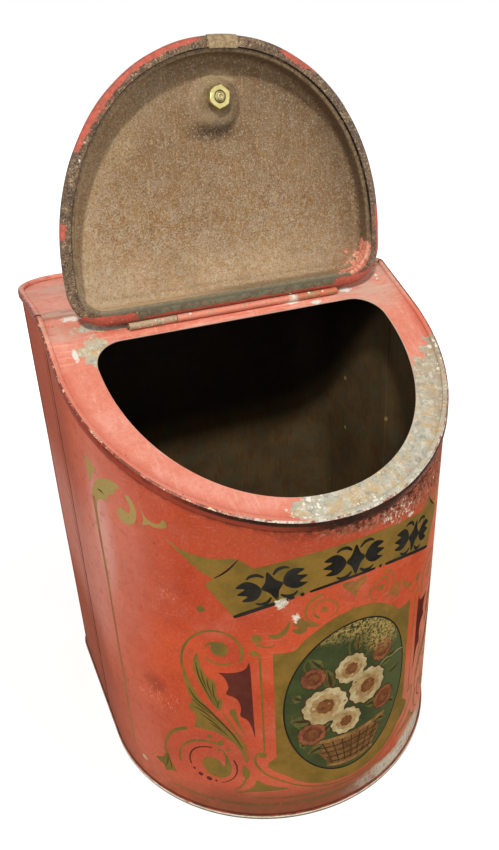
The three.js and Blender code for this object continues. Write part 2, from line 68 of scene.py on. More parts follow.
WIRE_RADIUS = 1.2
WIRE_CLEAR = WIRE_RADIUS + GAP
KNUCKLE_RADIUS = WIRE_CLEAR + 0.8
WIRE_ABOVE_SLOPE = KNUCKLE_RADIUS + GAP
WIRE_Y = CREASE_Y - 22.0 * math.cos(SLOPE) - WIRE_ABOVE_SLOPE * math.sin(SLOPE)
WIRE_Z = SHELF_HEIGHT - 22.0 * math.sin(SLOPE) + WIRE_ABOVE_SLOPE * math.cos(SLOPE)
HINGE_LENGTH = 151.0
STRAP_WIDTH = 31.5
KNUCKLE_GAP = 0.5
LID_LEAN = math.radians(3.7)
RIM_WIDTH = 8.2
BAND_WIDTH = 5.6
BAND_HALF = 2.3
LAP_X = 2.4
LAP_HALF = 9.6
PAN_TOP = 13.2
PAN_COVE = 5.0
KNOB_U = 128.5
DIMPLE_U = 124.5
DIMPLE_FLAT = 11.5
DIMPLE_RADIUS = 18.5
DIMPLE_DEPTH = 4.0
DIMPLE_SEAT = PAN_TOP - DIMPLE_DEPTH
NUT_TOP = DIMPLE_SEAT - SHEET - GAP
NUT_THICKNESS = 5.0
NUT_FLATS = 12.7
BORE_RADIUS = 3.4
NUT_BOTTOM = NUT_TOP - NUT_THICKNESS
KNOB_SEAT = DIMPLE_SEAT + GAP
STUD_RADIUS = 3.1

LID_PLACE = Matrix.Translation((0, WIRE_Y, WIRE_Z)) @ Matrix.Rotation(-math.pi / 2 - LID_LEAN, 4, "X")
SLOPE_PLACE = Matrix.Translation((0, CREASE_Y, SHELF_HEIGHT)) @ Matrix.Rotation(SLOPE, 4, "X")
WIRE_PLACE = Matrix.Translation((0, WIRE_Y, WIRE_Z)) @ Matrix.Rotation(SLOPE, 4, "X")


# Outlines and the wall's unrolled coordinates
def outline(
    half_width, back, corner, bow_start, bow_depth, fullness, flat=10, turn=14, side=8, bow=60, marks=(),
):
    """Stations (x, y, nx, ny) round a D, anticlockwise from the middle of its flat back."""
    left = []
    for i in range(flat):
        left.append((-(half_width - corner) * i / flat, back, 0.0, 1.0))
    for i in range(turn + 1):
        a = math.pi / 2 * (1 + i / turn)
        nx, ny = math.cos(a), math.sin(a)
        left.append((corner - half_width + corner * nx, back - corner + corner * ny, nx, ny))
    straight = [back - corner + (bow_start - back + corner) * i / side for i in range(1, side)] + list(marks)
    for y in sorted(straight, reverse=True):
        left.append((-half_width, y, -1.0, 0.0))
    for i in range(bow + 1):
        a = math.pi / 2 * i / bow
        across = math.cos(a) ** (2 / fullness) if i < bow else 0.0
        along = max(0.0, 1 - across**fullness) ** (1 / fullness)
        outward = Vector((-(across ** (fullness - 1)) / half_width, -(along ** (fullness - 1)) / bow_depth))
        left.append((-half_width * across, bow_start - bow_depth * along, *outward.normalized()))
    right = [(-x, y, -nx, ny) for x, y, nx, ny in reversed(left[1:-1])]
    return left + right


BODY = dict(
    half_width=BIN_WIDTH / 2, back=BACK_Y, corner=BACK_CORNER, bow_start=BOW_START_Y, bow_depth=BOW_DEPTH,
    fullness=BODY_FULLNESS,
)


def plate_top(y):
    return SHELF_HEIGHT - max(0.0, CREASE_Y - y) * math.tan(SLOPE)


def arc_table():
    """Outline with its length from the middle of the bow, positive towards +X."""
    ring = outline(**BODY, flat=40, turn=60, side=60, bow=400)
    start = min(range(len(ring)), key=lambda i: ring[i][1] + abs(ring[i][0]))
    ring = ring[start:] + ring[:start] + [ring[start]]
    table, length = [], 0.0
    for i, station in enumerate(ring):
        if i:
            length += math.dist(station[:2], ring[i - 1][:2])
        table.append((length, station))
    return table, length


ARC, ARC_LENGTH = arc_table()
ARC_KEYS = [k for k, _ in ARC]
# Each dent's place (s, z), radius and depth
DENTS = [
    (-120, 119, 9, 0.5), (-150, 178, 22, 0.5), (52, 60, 16, 0.4), (-96, 24, 14, 0.5), (88, 120, 26, 0.6),
    (-172, 90, 20, 0.4),
]


def wall_frame(s):
    s = s % ARC_LENGTH
    low, high = 0, len(ARC_KEYS) - 1
    while high - low > 1:
        mid = (low + high) // 2
        if ARC_KEYS[mid] <= s:
            low = mid
        else:
            high = mid
    span = ARC_KEYS[high] - ARC_KEYS[low]
    t = (s - ARC_KEYS[low]) / span if span else 0.0
    a, b = ARC[low][1], ARC[high][1]
    return [a[k] + (b[k] - a[k]) * t for k in range(4)]


def wave(a, b, size_a, size_b, seed):
    """Smooth noise from -1 to 1 over a surface."""
    return noise.noise(Vector((a / size_a, b / size_b, seed)))


def ripple(s, z, top):
    """How far the sheet stands off its true form, in millimetres; nothing at its edges."""
    edge = max(0.0, min(1.0, (top - z - 4) / 22, (z - 6) / 22))
    value = 0.2 * wave(s, z, 46, 60, 3.1) + 0.06 * wave(s, z, 15, 19, 7.7)
    for ds, dz, radius, depth in DENTS:
        d = math.dist((s, z), (ds, dz)) / radius
        if d < 1:
            value -= depth * (1 - d * d) ** 2
    return value * edge * edge * (3 - 2 * edge)


def wall_point(s, z, out=0.0):
    x, y, nx, ny = wall_frame(s)
    shift = s if s <= ARC_LENGTH / 2 else s - ARC_LENGTH
    out += ripple(shift, z, plate_top(y))
    return Vector((x + out * nx, y + out * ny, z))


# Mesh helpers
def piece(name, verts, faces, body, looks, face_looks=None, place=None, sharp=38, covers=()):
    mesh = bpy.data.meshes.new(name)
    place = place or Matrix.Identity(4)
    mesh.from_pydata([(place @ Vector(v)) * MM for v in verts], [], faces)
    if face_looks:
        mesh.polygons.foreach_set("material_index", face_looks)
    bm = bmesh.new()
    bm.from_mesh(mesh)
    bmesh.ops.remove_doubles(bm, verts=bm.verts, dist=2e-6)
    bmesh.ops.recalc_face_normals(bm, faces=bm.faces)
    for face in bm.faces:
        face.smooth = True
    for edge in bm.edges:
        edge.smooth = len(edge.link_faces) == 2 and edge.calc_face_angle(0) < math.radians(sharp)
    bm.to_mesh(mesh)
    bm.free()
    for look in looks:
        mesh.materials.append(look)
    obj = bpy.data.objects.new(name, mesh)
    bpy.context.scene.collection.objects.link(obj)
    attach(obj, body)
    if covers:
        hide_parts(*covers)
    return obj


def grid_faces(rows, columns, start=0, wrap=False):
    faces = []
    for i in range(rows if wrap else rows - 1):
        for j in range(columns - 1):
            a = start + i * columns + j
            b = start + ((i + 1) % rows) * columns + j
            faces.append((a, b, b + 1, a + 1))
    return faces


def shell(outer, inner):
    """Closed sheet between two grids of points; its faces, and 1 for each face of the inner side."""
    rows, columns = len(outer), len(outer[0])
    verts = [p for row in outer for p in row] + [p for row in inner for p in row]
    n = rows * columns
    faces = grid_faces(rows, columns) + grid_faces(rows, columns, n)
    looks = [0] * (len(faces) // 2) + [1] * (len(faces) // 2)
    border = [i * columns for i in range(rows)] + [(rows - 1) * columns + j for j in range(1, columns)]
    border += [i * columns + columns - 1 for i in range(rows - 2, -1, -1)]
    border += range(columns - 2, 0, -1)
    for k, a in enumerate(border):
        b = border[(k + 1) % len(border)]
        faces.append((a, b, b + n, a + n))
        looks.append(0)
    return verts, faces, looks


def sweep(stations, section, height=None, closed=True):
    """Carries a closed section [(out, up), ...] along the stations."""
    verts, size = [], len(section)
    for x, y, nx, ny in stations:
        for out, up in section:
            px, py = x + out * nx, y + out * ny
            verts.append((px, py, up + (height(py) if height else 0.0)))
    faces = []
    count = len(stations)
    for i in range(count if closed else count - 1):
        for j in range(size):
            a, b = i * size, ((i + 1) % count) * size
            k = (j + 1) % size
            faces.append((a + j, a + k, b + k, b + j))
    if not closed:
        faces.append(tuple(range(size)))
        faces.append(tuple((count - 1) * size + j for j in range(size)))
    return verts, faces


def wobbled(verts, amount, size, seed=0.0):
    """The points, each moved a little by smooth noise that is the same in every run."""
    moved = []
    for v in verts:
        v = Vector(v)
        away = [noise.noise(v / size + Vector((seed, seed + 17.3 * k, seed))) for k in range(3)]
        moved.append(v + amount * Vector(away))
    return moved


def extend(verts, faces, looks, more_verts, more_faces, more_looks):
    """Adds points and faces, and the look of each face, to the lists of a sheet."""
    start = len(verts)
    verts += more_verts
    faces += [tuple(start + i for i in face) for face in more_faces]
    looks += more_looks


def circle(cx, cy, radius, step, flat=1.0):
    """Points round a circle or a flattened one, a step apart in degrees."""
    turns = [math.radians(step * i) for i in range(360 // step)]
    return [(cx + radius * math.cos(a), cy + radius * flat * math.sin(a)) for a in turns]


def joined(*parts):
    verts, faces = [], []
    for part_verts, part_faces in parts:
        start = len(verts)
        verts += list(part_verts)
        faces += [tuple(start + i for i in face) for face in part_faces]
    return verts, faces


def inside(points, loops):
    """Which of the points lie inside the loops, with the holes left out."""
    px, py = points[:, 0], points[:, 1]
    result = np.zeros(len(points), dtype=bool)
    for loop in loops:
        for i, (ax, ay) in enumerate(loop):
            bx, by = loop[(i + 1) % len(loop)]
            if ay != by:
                crossing = ax + (bx - ax) * (py - ay) / (by - ay)
                result ^= ((ay > py) != (by > py)) & (px < crossing)
    return result


def filled(loops, spacing, extra=()):
    """Triangles that fill the loops, with a grid of points inside."""
    edges = []
    for loop in loops:
        start = len(edges)
        edges += [(start + i, start + (i + 1) % len(loop)) for i in range(len(loop))]
    rim = np.array([tuple(p)[:2] for loop in loops for p in loop], dtype=float)
    low, high = rim.min(axis=0), rim.max(axis=0)
    grid = []
    for i, y in enumerate(np.arange(low[1] + spacing / 2, high[1], spacing * 0.87)):
        for x in np.arange(low[0] + spacing / 2 + (i % 2) * spacing / 2, high[0], spacing):
            if np.abs(rim - (x, y)).sum(axis=1).min() > spacing * 0.6:
                grid.append((x, y))
    points = [Vector(p) for p in [*rim, *grid, *extra]]
    verts, _, faces, _, _, _ = delaunay_2d_cdt(points, edges, [], 0, 1e-5, False)
    flat = np.array([tuple(v) for v in verts])
    middles = np.array([flat[list(face)].mean(axis=0) for face in faces])
    kept = inside(middles, [[tuple(p)[:2] for p in loop] for loop in loops])
    faces = [tuple(face) for face, keep in zip(faces, kept) if keep]
    used = sorted({i for face in faces for i in face})
    place = {old: new for new, old in enumerate(used)}
    return [verts[i] for i in used], [tuple(place[i] for i in face) for face in faces]


def border_edges(faces):
    count = {}
    for face in faces:
        for i, a in enumerate(face):
            b = face[(i + 1) % len(face)]
            key = (min(a, b), max(a, b))
            count[key] = count.get(key, 0) + 1
    return [e for e, c in count.items() if c == 1]


def thick(upper, lower, faces):
    n = len(upper)
    result = list(faces) + [tuple(i + n for i in reversed(f)) for f in faces]
    looks = [0] * len(faces) + [1] * len(faces)
    for a, b in border_edges(faces):
        result.append((a, b, b + n, a + n))
        looks.append(0)
    return list(upper) + list(lower), result, looks


def lathe(profile, steps=64):
    """Turned solid about Z from (radius, z) points; the ends lie on the axis or the profile is closed."""
    verts = []
    for i in range(steps):
        a = 2 * math.pi * i / steps
        verts += [(r * math.cos(a), r * math.sin(a), z) for r, z in profile]
    n = len(profile)
    faces = []
    for i in range(steps):
        a, b = i * n, ((i + 1) % steps) * n
        for j in range(n if profile[0][0] > 0 else n - 1):
            k = (j + 1) % n
            faces.append((a + j, b + j, b + k, a + k))
    return verts, faces


# Material nodes
def srgb(r, g, b):
    """Linear colour of three sRGB numbers from 0 to 255."""
    linear = [c / 255 / 12.92 if c <= 10 else ((c / 255 + 0.055) / 1.055) ** 2.4 for c in (r, g, b)]
    return (*linear, 1.0)


class Graph:
    """Short ways to add nodes to a material or world. Three numbers given for a colour are sRGB."""

    def __init__(self, owner):
        owner.use_nodes = True
        self.tree = owner.node_tree
        self.tree.nodes.clear()

    def node(self, kind, inputs=None, **settings):
        node = self.tree.nodes.new("ShaderNode" + kind)
        for name, value in settings.items():
            setattr(node, name, value)
        for key, value in (inputs or {}).items():
            self.put(node.inputs[key], value)
        return node

    def put(self, socket, value):
        if isinstance(value, bpy.types.NodeSocket):
            self.tree.links.new(value, socket)
        elif socket.type == "RGBA" and len(value) == 3:
            socket.default_value = srgb(*value)
        else:
            socket.default_value = value

    def math(self, operation, a, b=0.0, clamp=False):
        return self.node("Math", {0: a, 1: b}, operation=operation, use_clamp=clamp).outputs[0]

    def smooth(self, value, low, high):
        """0 up to the first level and 1 from the second, or the other way round where they fall."""
        rising = low < high
        levels = {
            "Value": value, "From Min": min(low, high), "From Max": max(low, high),
            "To Min": 0.0 if rising else 1.0, "To Max": 1.0 if rising else 0.0,
        }
        return self.node("MapRange", levels, interpolation_type="SMOOTHSTEP", clamp=True).outputs[0]

    def most(self, *masks):
        value = masks[0]
        for mask in masks[1:]:
            value = self.math("MAXIMUM", value, mask)
        return value

    def times(self, *masks):
        value = masks[0]
        for mask in masks[1:]:
            value = self.math("MULTIPLY", value, mask)
        return value

    def add(self, a, b):
        return self.math("ADD", a, b)

    def outside(self, mask):
        return self.math("SUBTRACT", 1.0, mask)

    def off(self, value, level):
        """Distance of a value from a level."""
        return self.math("ABSOLUTE", self.math("SUBTRACT", value, level))

    def seen_ray(self):
        """1 for camera, glossy and transmission rays."""
        rays = self.node("LightPath").outputs
        return self.most(rays["Is Camera Ray"], rays["Is Glossy Ray"], rays["Is Transmission Ray"])


class Look(Graph):
    """A material over the piece's own coordinates at rest, in metres. Its colour is built up in coats."""

    def __init__(self, name, metallic=0.0, gloss=0.5):
        self.material = bpy.data.materials.new(name)
        super().__init__(self.material)
        self.place = self.node("TexCoord").outputs["Object"]
        self.x, self.y, self.z = self.node("SeparateXYZ", {0: self.place}).outputs
        self.shader = self.node("BsdfPrincipled", {"Metallic": metallic, "Specular IOR Level": gloss})
        self.node("OutputMaterial", {"Surface": self.shader.outputs[0]})
        self.color = None

    def mix(self, share, a, b):
        return self.node("Mix", {"Factor": share, 6: a, 7: b}, data_type="RGBA", clamp_factor=True).outputs[2]

    def coat(self, tone, mask, share=None):
        """Lays a tone over the colour so far, where the mask says."""
        self.color = self.mix(mask if share is None else self.times(mask, share), self.color, tone)

    def scaled_place(self, size, stretch, location):
        scale = [1 / (size * MM * k) for k in stretch]
        return self.node("Mapping", {"Vector": self.place, "Scale": scale, "Location": location}).outputs[0]

    def noise(self, size, detail=4.0, rough=0.6, shift=0.0, stretch=(1, 1, 1), distort=0.0):
        """Noise whose features are about as many millimetres across as size."""
        place = self.scaled_place(size, stretch, (shift, shift * 0.7, shift * 1.3))
        levels = {"Vector": place, "Scale": 1.0, "Detail": detail, "Roughness": rough, "Distortion": distort}
        return self.node("TexNoise", levels).outputs["Fac"]

    def drift(self, *noise, **how):
        """Noise about zero."""
        return self.math("SUBTRACT", self.noise(*noise, **how), 0.5)

    def cloud(self, size, low, high, detail=5, rough=0.7, shift=0.0, **how):
        """Noise cut to a mask between two of its levels."""
        return self.smooth(self.noise(size, detail, rough, shift, **how), low, high)

    def uneven(self, base, share, size, detail=5, rough=0.7, shift=0.0):
        """A roughness that varies from place to place."""
        return self.add(self.times(self.noise(size, detail, rough, shift), share), base)

    def specks(self, size, radius, share, shift=0.0, ragged=0.9):
        """Scattered spots of up to that radius, in a share of the cells of that size."""
        place = self.scaled_place(size, (1, 1, 1), (shift, shift, shift))
        bend = self.node("TexNoise", {"Vector": place, "Scale": 0.9 * size / radius, "Detail": 2.0}).outputs
        reach = [ragged * radius / size] * 3
        moved = self.node(
            "VectorMath", {0: bend["Color"], 1: reach, 2: place}, operation="MULTIPLY_ADD",
        ).outputs[0]
        cells = self.node("TexVoronoi", {"Vector": moved, "Scale": 1.0}).outputs
        parts = self.node("SeparateColor", {0: cells["Color"]}).outputs
        chosen = self.smooth(parts[0], 1 - share - 0.01, 1 - share + 0.01)
        spot = self.math("SUBTRACT", self.times(parts[1], radius / size), cells["Distance"])
        return self.times(chosen, self.smooth(spot, -0.03, 0.03))

    def near(self, point, radii, soft=0.35, ragged=0.0, grain=12.0, shift=0.0):
        """1 inside an ellipsoid round a point, in millimetres, with a soft and ragged edge."""
        away = self.node(
            "VectorMath", {0: self.place, 1: Vector(point) * MM}, operation="SUBTRACT",
        ).outputs[0]
        scaled = self.node("VectorMath", {0: away, 1: [r * MM for r in radii]}, operation="DIVIDE").outputs[0]
        value = self.node("VectorMath", {0: scaled}, operation="LENGTH").outputs["Value"]
        if ragged:
            value = self.add(value, self.times(self.drift(grain, 5, 0.65, shift), ragged))
        return self.smooth(value, 1 + soft, 1 - soft)

    def on_wall(self, s, z, *shape):
        return self.near(wall_point(s, z), *shape)

    def on_lid(self, x, u, w, *shape):
        return self.near(LID_PLACE @ Vector((x, -u, w)), *shape)

    def patches(self, *shapes):
        return self.most(*[self.near(*shape) for shape in shapes])

    def band(self, value, low, high, soft):
        """1 where the value lies between low and high, with soft ends."""
        above = self.smooth(value, low - soft, low + soft)
        return self.times(above, self.smooth(value, high + soft, high - soft))

    def above_wire(self, high, low):
        """1 below the lower and 0 above the higher of two levels over the hinge's wire, in millimetres."""
        return self.smooth(self.z, (WIRE_Z + high) * MM, (WIRE_Z + low) * MM)

    def lid_depth(self):
        """Height over the plane of the lid's rim, towards its outside."""
        up = self.times(self.math("SUBTRACT", self.z, WIRE_Z * MM), -math.sin(LID_LEAN))
        return self.add(self.times(self.math("SUBTRACT", self.y, WIRE_Y * MM), math.cos(LID_LEAN)), up)

    def below_plate(self):
        """Distance below the top plate's surface."""
        ahead = self.math("MAXIMUM", self.math("SUBTRACT", CREASE_Y * MM, self.y), 0.0)
        level = self.math("SUBTRACT", SHELF_HEIGHT * MM, self.times(ahead, math.tan(SLOPE)))
        return self.math("SUBTRACT", level, self.z)

    def finish(self, rough, height, bump, bump_mm):
        relief = self.node("Bump", {"Strength": bump, "Distance": bump_mm * MM, "Height": height}).outputs[0]
        for name, value in (("Base Color", self.color), ("Roughness", rough), ("Normal", relief)):
            self.put(self.shader.inputs[name], value)
        return self.material


RED = (206, 88, 54)
RED_DEEP = (184, 70, 42)
RED_CHALKY = (206, 122, 100)
RED_LIGHT = (222, 148, 126)
SALMON = (238, 160, 140)
SALMON_DEEP = (226, 134, 110)
MAROON = (104, 46, 34)
RUST_DARK = (62, 40, 28)
RUST = (134, 84, 52)
TAN = (204, 178, 136)
METAL_GREY = (190, 186, 168)
CREAM = (236, 226, 204)
TIN_DULL = (132, 124, 104)
OLIVE_DARK = (74, 64, 34)
BLACK = (34, 33, 30)


def red_paint(look):
    """Colour and wear of the red wall paint, with painted sheen, light and shade, shared by all that is
    painted on the walls.
    """
    look.color = look.mix(look.cloud(70, 0.35, 0.7, 4, 0.6), RED, RED_DEEP)
    look.coat(RED_CHALKY, look.cloud(26, 0.48, 0.78, 6, 0.65, 4.0), 0.45)
    look.coat((150, 70, 48), look.cloud(19, 0.5, 0.74, 6, 0.72, 44.0), 0.5)
    # painted sheen left of the bow: a broad glow, and the left side paler; then browner sides and back
    look.coat((214, 142, 124), look.on_wall(-152, 216, (30, 36, 56), 0.85, 0.4, 30.0, 7.0), 0.4)
    look.coat((222, 144, 122), look.smooth(look.x, -0.1, -0.122), 0.32)
    look.coat((168, 98, 82), look.smooth(look.y, -0.03, 0.02), 0.6)
    aside = look.smooth(look.y, -0.06, -0.02)
    # painted sheen in a band along the sides, then darker low on the sides
    look.coat((226, 160, 144), look.times(aside, look.band(look.z, 0.11, 0.212, 0.03)), 0.55)
    look.coat((120, 66, 52), look.times(aside, look.smooth(look.z, 0.12, 0.05)), 0.25)
    # painted shade on the back corners and the back, where they turn away from the light
    look.coat((82, 40, 34), look.smooth(look.y, 0.09, 0.104), 0.6)
    # painted sheen: a narrow highlight left of the corner leaf
    look.coat((226, 176, 164), look.on_wall(-161, 214, (8, 9, 36), 0.85, 0.3, 30.0, 6.0), 0.6)
    # painted light and sheen: the right of the bow paler
    look.coat((240, 162, 136), look.smooth(look.x, 0.058, 0.104), 0.72)
    # bleached, dull and shaded places of the front
    look.coat((236, 180, 150), look.on_wall(84, 58, (30, 44, 52), 0.6, 0.4, 20.0, 87.0), 0.35)
    look.coat((192, 124, 104), look.smooth(look.z, 0.13, 0.02), 0.22)
    look.coat((156, 60, 38), look.on_wall(-62, 212, (62, 46, 40), 0.6, 0.5, 24.0, 61.0), 0.35)
    look.coat((168, 74, 52), look.cloud(7, 0.5, 0.68, 6, 0.72, 83.0), 0.35)
    high = look.times(look.smooth(look.below_plate(), 0.05, 0.004), look.smooth(look.x, -0.112, -0.07))
    look.coat((150, 72, 54), high, 0.3)
    look.coat((128, 52, 40), look.on_wall(-128, 107, (8, 8, 7), 0.7, 0.8, 6.0, 5.0), 0.45)
    look.coat(RED_LIGHT, look.cloud(1.6, 0.45, 0.8, 5, 0.7, 9.0), 0.25)
    look.coat(MAROON, look.cloud(2.6, 0.58, 0.76, 6, 0.75, 2.0), 0.5)
    # scratches, scuffs and specks
    scratches = look.cloud(1.1, 0.63, 0.69, 3, 0.5, 5.0, stretch=(16, 16, 0.6))
    slanted = look.cloud(1.8, 0.66, 0.73, 4, 0.6, 15.0, stretch=(3, 3, 1), distort=1.2)
    marks = look.most(look.times(scratches, 0.3), look.times(slanted, 0.4))
    look.coat(RED_LIGHT, look.times(marks, look.cloud(38, 0.46, 0.6, 3, 0.5, 6.0)))
    scuffs = look.most(
        look.on_wall(-128, 96, (18, 18, 10), 0.5, 1.3, 7.0, 17.0),
        look.on_wall(-158, 160, (9, 9, 10), 0.5, 1.3, 7.0, 18.0),
        look.on_wall(-112, 186, (7, 7, 6), 0.5, 1.3, 7.0, 19.0),
    )
    streaks = look.cloud(2.0, 0.57, 0.62, 4, 0.65, 55.0, stretch=(1, 1, 2.2), distort=1.6)
    look.coat((230, 148, 122), look.times(scuffs, streaks), 0.7)
    look.coat(MAROON, look.specks(9, 0.9, 0.14, 1.0), 0.45)
    look.coat(CREAM, look.specks(17, 1.1, 0.04, 3.0, 1.6))


def worn_wall(look):
    """Rust, bare metal and chips over both the red paint and the ornament, with painted shade under the
    binding and by the seams. Gives the rust's mask.
    """
    grain = look.noise(2.4, 6, 0.75, 12.0)
    # rusty band under the binding at the right of the front
    rust = look.most(
        look.on_wall(66, 236, (54, 60, 17), 0.4, 1.1, 9.0),
        look.on_wall(106, 250, (40, 50, 24), 0.4, 1.1, 9.0, 2.0),
        look.on_wall(22, 233, (40, 40, 9), 0.4, 1.1, 7.0, 4.0),
    )
    look.coat(look.mix(look.cloud(5, 0.4, 0.6, 5, 0.75, 3.0), (196, 104, 84), (148, 92, 68)), rust, 0.8)
    pale = look.mix(look.noise(3, 4, 0.6, 3.0), (176, 132, 98), (208, 172, 140))
    look.coat(pale, look.times(rust, look.smooth(grain, 0.52, 0.6)), 0.8)
    look.coat((62, 38, 30), look.times(rust, look.cloud(2.2, 0.51, 0.58, 5, 0.8, 20.0)), 0.9)
    look.coat((228, 190, 164), look.times(rust, look.cloud(1.1, 0.6, 0.66, 4, 0.85, 40.0)), 0.8)
    spots = look.on_wall(36, 226, (15, 15, 7), 0.5, 0.8, 8.0, 33.0)
    look.coat(CREAM, look.times(spots, look.cloud(2.4, 0.56, 0.6, 4, 0.75, 35.0)))
    look.coat(CREAM, look.times(look.smooth(rust, 0.3, 0.7), look.specks(7, 1.6, 0.1, 8.0, 1.8)))
    # dark rust just under the binding, with painted shade where the binding overhangs the wall
    near_edge = look.on_wall(22, 236, (60, 30, 9), 0.5, 0.9, 8.0, 43.0)
    look.coat((56, 34, 28), look.times(near_edge, look.cloud(4, 0.4, 0.58, 5, 0.75, 47.0)), 0.8)
    under = look.smooth(look.below_plate(), 0.009, 0.003)
    look.coat(RUST_DARK, look.times(under, look.cloud(6, 0.35, 0.7, 4, 0.6, 1.0)), 0.75)
    # grey scuff and rust near the foot
    scuff = look.most(
        look.on_wall(40, 9, (36, 36, 8), 0.4, 0.9, 9.0, 7.0),
        look.on_wall(72, 12, (24, 24, 11), 0.4, 0.9, 9.0, 8.0),
    )
    scuff_tone = look.mix(look.smooth(grain, 0.5, 0.66), (208, 204, 184), (152, 126, 104))
    look.coat(scuff_tone, look.times(scuff, look.cloud(6, 0.28, 0.46, 5, 0.7, 30.0)), 0.92)
    look.coat(
        RUST, look.times(look.smooth(look.z, 0.016, 0.004), look.cloud(9, 0.42, 0.68, 5, 0.65, 11.0)), 0.6,
    )
    low = look.times(look.smooth(look.z, 0.034, 0.01), look.smooth(look.x, 0.04, 0.01))
    look.coat((140, 96, 72), look.times(low, look.cloud(11, 0.3, 0.62, 5, 0.7, 71.0)), 0.4)
    look.coat((98, 70, 48), look.on_wall(-50, 10, (64, 50, 15), 0.6, 0.6, 14.0, 73.0), 0.6)
    look.coat((82, 40, 32), look.smooth(look.z, 0.0052, 0.0036), 0.6)
    for s, z, radii, tone in (
        (-42.5, 186.4, (3.6, 3.6, 3.6), CREAM),
        (-34.4, 174, (1.9, 1.9, 3.2), CREAM),
        (-152, 21, (3, 3, 1.8), TAN),
        (48, 218, (2.6, 2.6, 1.6), CREAM),
    ):
        chip = look.on_wall(s, z, radii, 0.16, 3.0, 2.0, s * 0.1)
        look.coat(look.mix(look.smooth(grain, 0.4, 0.6), METAL_GREY, tone), chip, 0.9)
    # dirt in the side seams, widened by a painted shadow of the seam's raised fold, with a pale painted
    # highlight on the ridge beside it and a further dark line behind
    seam = look.off(look.y, (SEAM_Y + 0.15) * MM)
    look.coat((54, 32, 26), look.smooth(seam, 0.002, 0.0007), 0.85)
    look.coat((196, 112, 92), look.smooth(look.off(seam, 0.0034), 0.0012, 0.0003), 0.45)
    look.coat((70, 36, 30), look.smooth(look.off(look.y, (SEAM_Y + 9) * MM), 0.0016, 0.0004), 0.6)
    look.coat(MAROON, look.times(look.smooth(seam, 0.005, 0.001), look.cloud(8, 0.4, 0.7, 4, 0.6, 5.0)), 0.5)
    return rust


def wall_look():
    look = Look("red_wall_paint", gloss=0.0)
    red_paint(look)
    rust = worn_wall(look)
    rough = look.math("ADD", look.uneven(0.26, 0.3, 12, shift=3.0), look.times(rust, 0.3), clamp=True)
    height = look.add(look.noise(2.0, 5, 0.7), look.times(rust, look.noise(1.5, 5, 0.8), 3.0))
    return look.finish(rough, height, 0.25, 0.12)


def decal_look(name, first, second, metallic=0.0, worn=0.66, grain=5.0, pale=False):
    """Stencilled colour, rubbed through to the red paint here and there."""
    look = Look(name, metallic=metallic, gloss=0.0)
    red_paint(look)
    red = look.color
    look.color = look.mix(look.cloud(22, 0.35, 0.68, 5, 0.65, 3.0), first, second)
    rubbed = look.cloud(grain, worn, worn + 0.1, 6, 0.72, 13.0)
    if pale:
        look.coat((182, 156, 98), look.on_wall(-150, 240, (42, 42, 36), 0.5, 0.6, 20.0, 4.0), 0.75)
        right = look.times(look.smooth(look.x, 0.03, 0.08), look.cloud(5, 0.4, 0.56, 5, 0.7, 23.0), 0.75)
        beneath = look.on_wall(24, 175, (58, 44, 17), 0.3, 0.5, 12.0, 31.0)
        beneath = look.times(beneath, look.cloud(4, 0.36, 0.56, 5, 0.7, 37.0), 0.6)
        rubbed = look.most(rubbed, right, beneath)
    look.coat(OLIVE_DARK, look.cloud(1.5, 0.5, 0.78, 5, 0.75, 7.0), 0.45)
    look.coat(red, rubbed, 0.85)
    worn_wall(look)
    return look.finish(look.uneven(0.34, 0.25, 8, shift=3.0), look.noise(1.6, 5, 0.7), 0.2, 0.1)


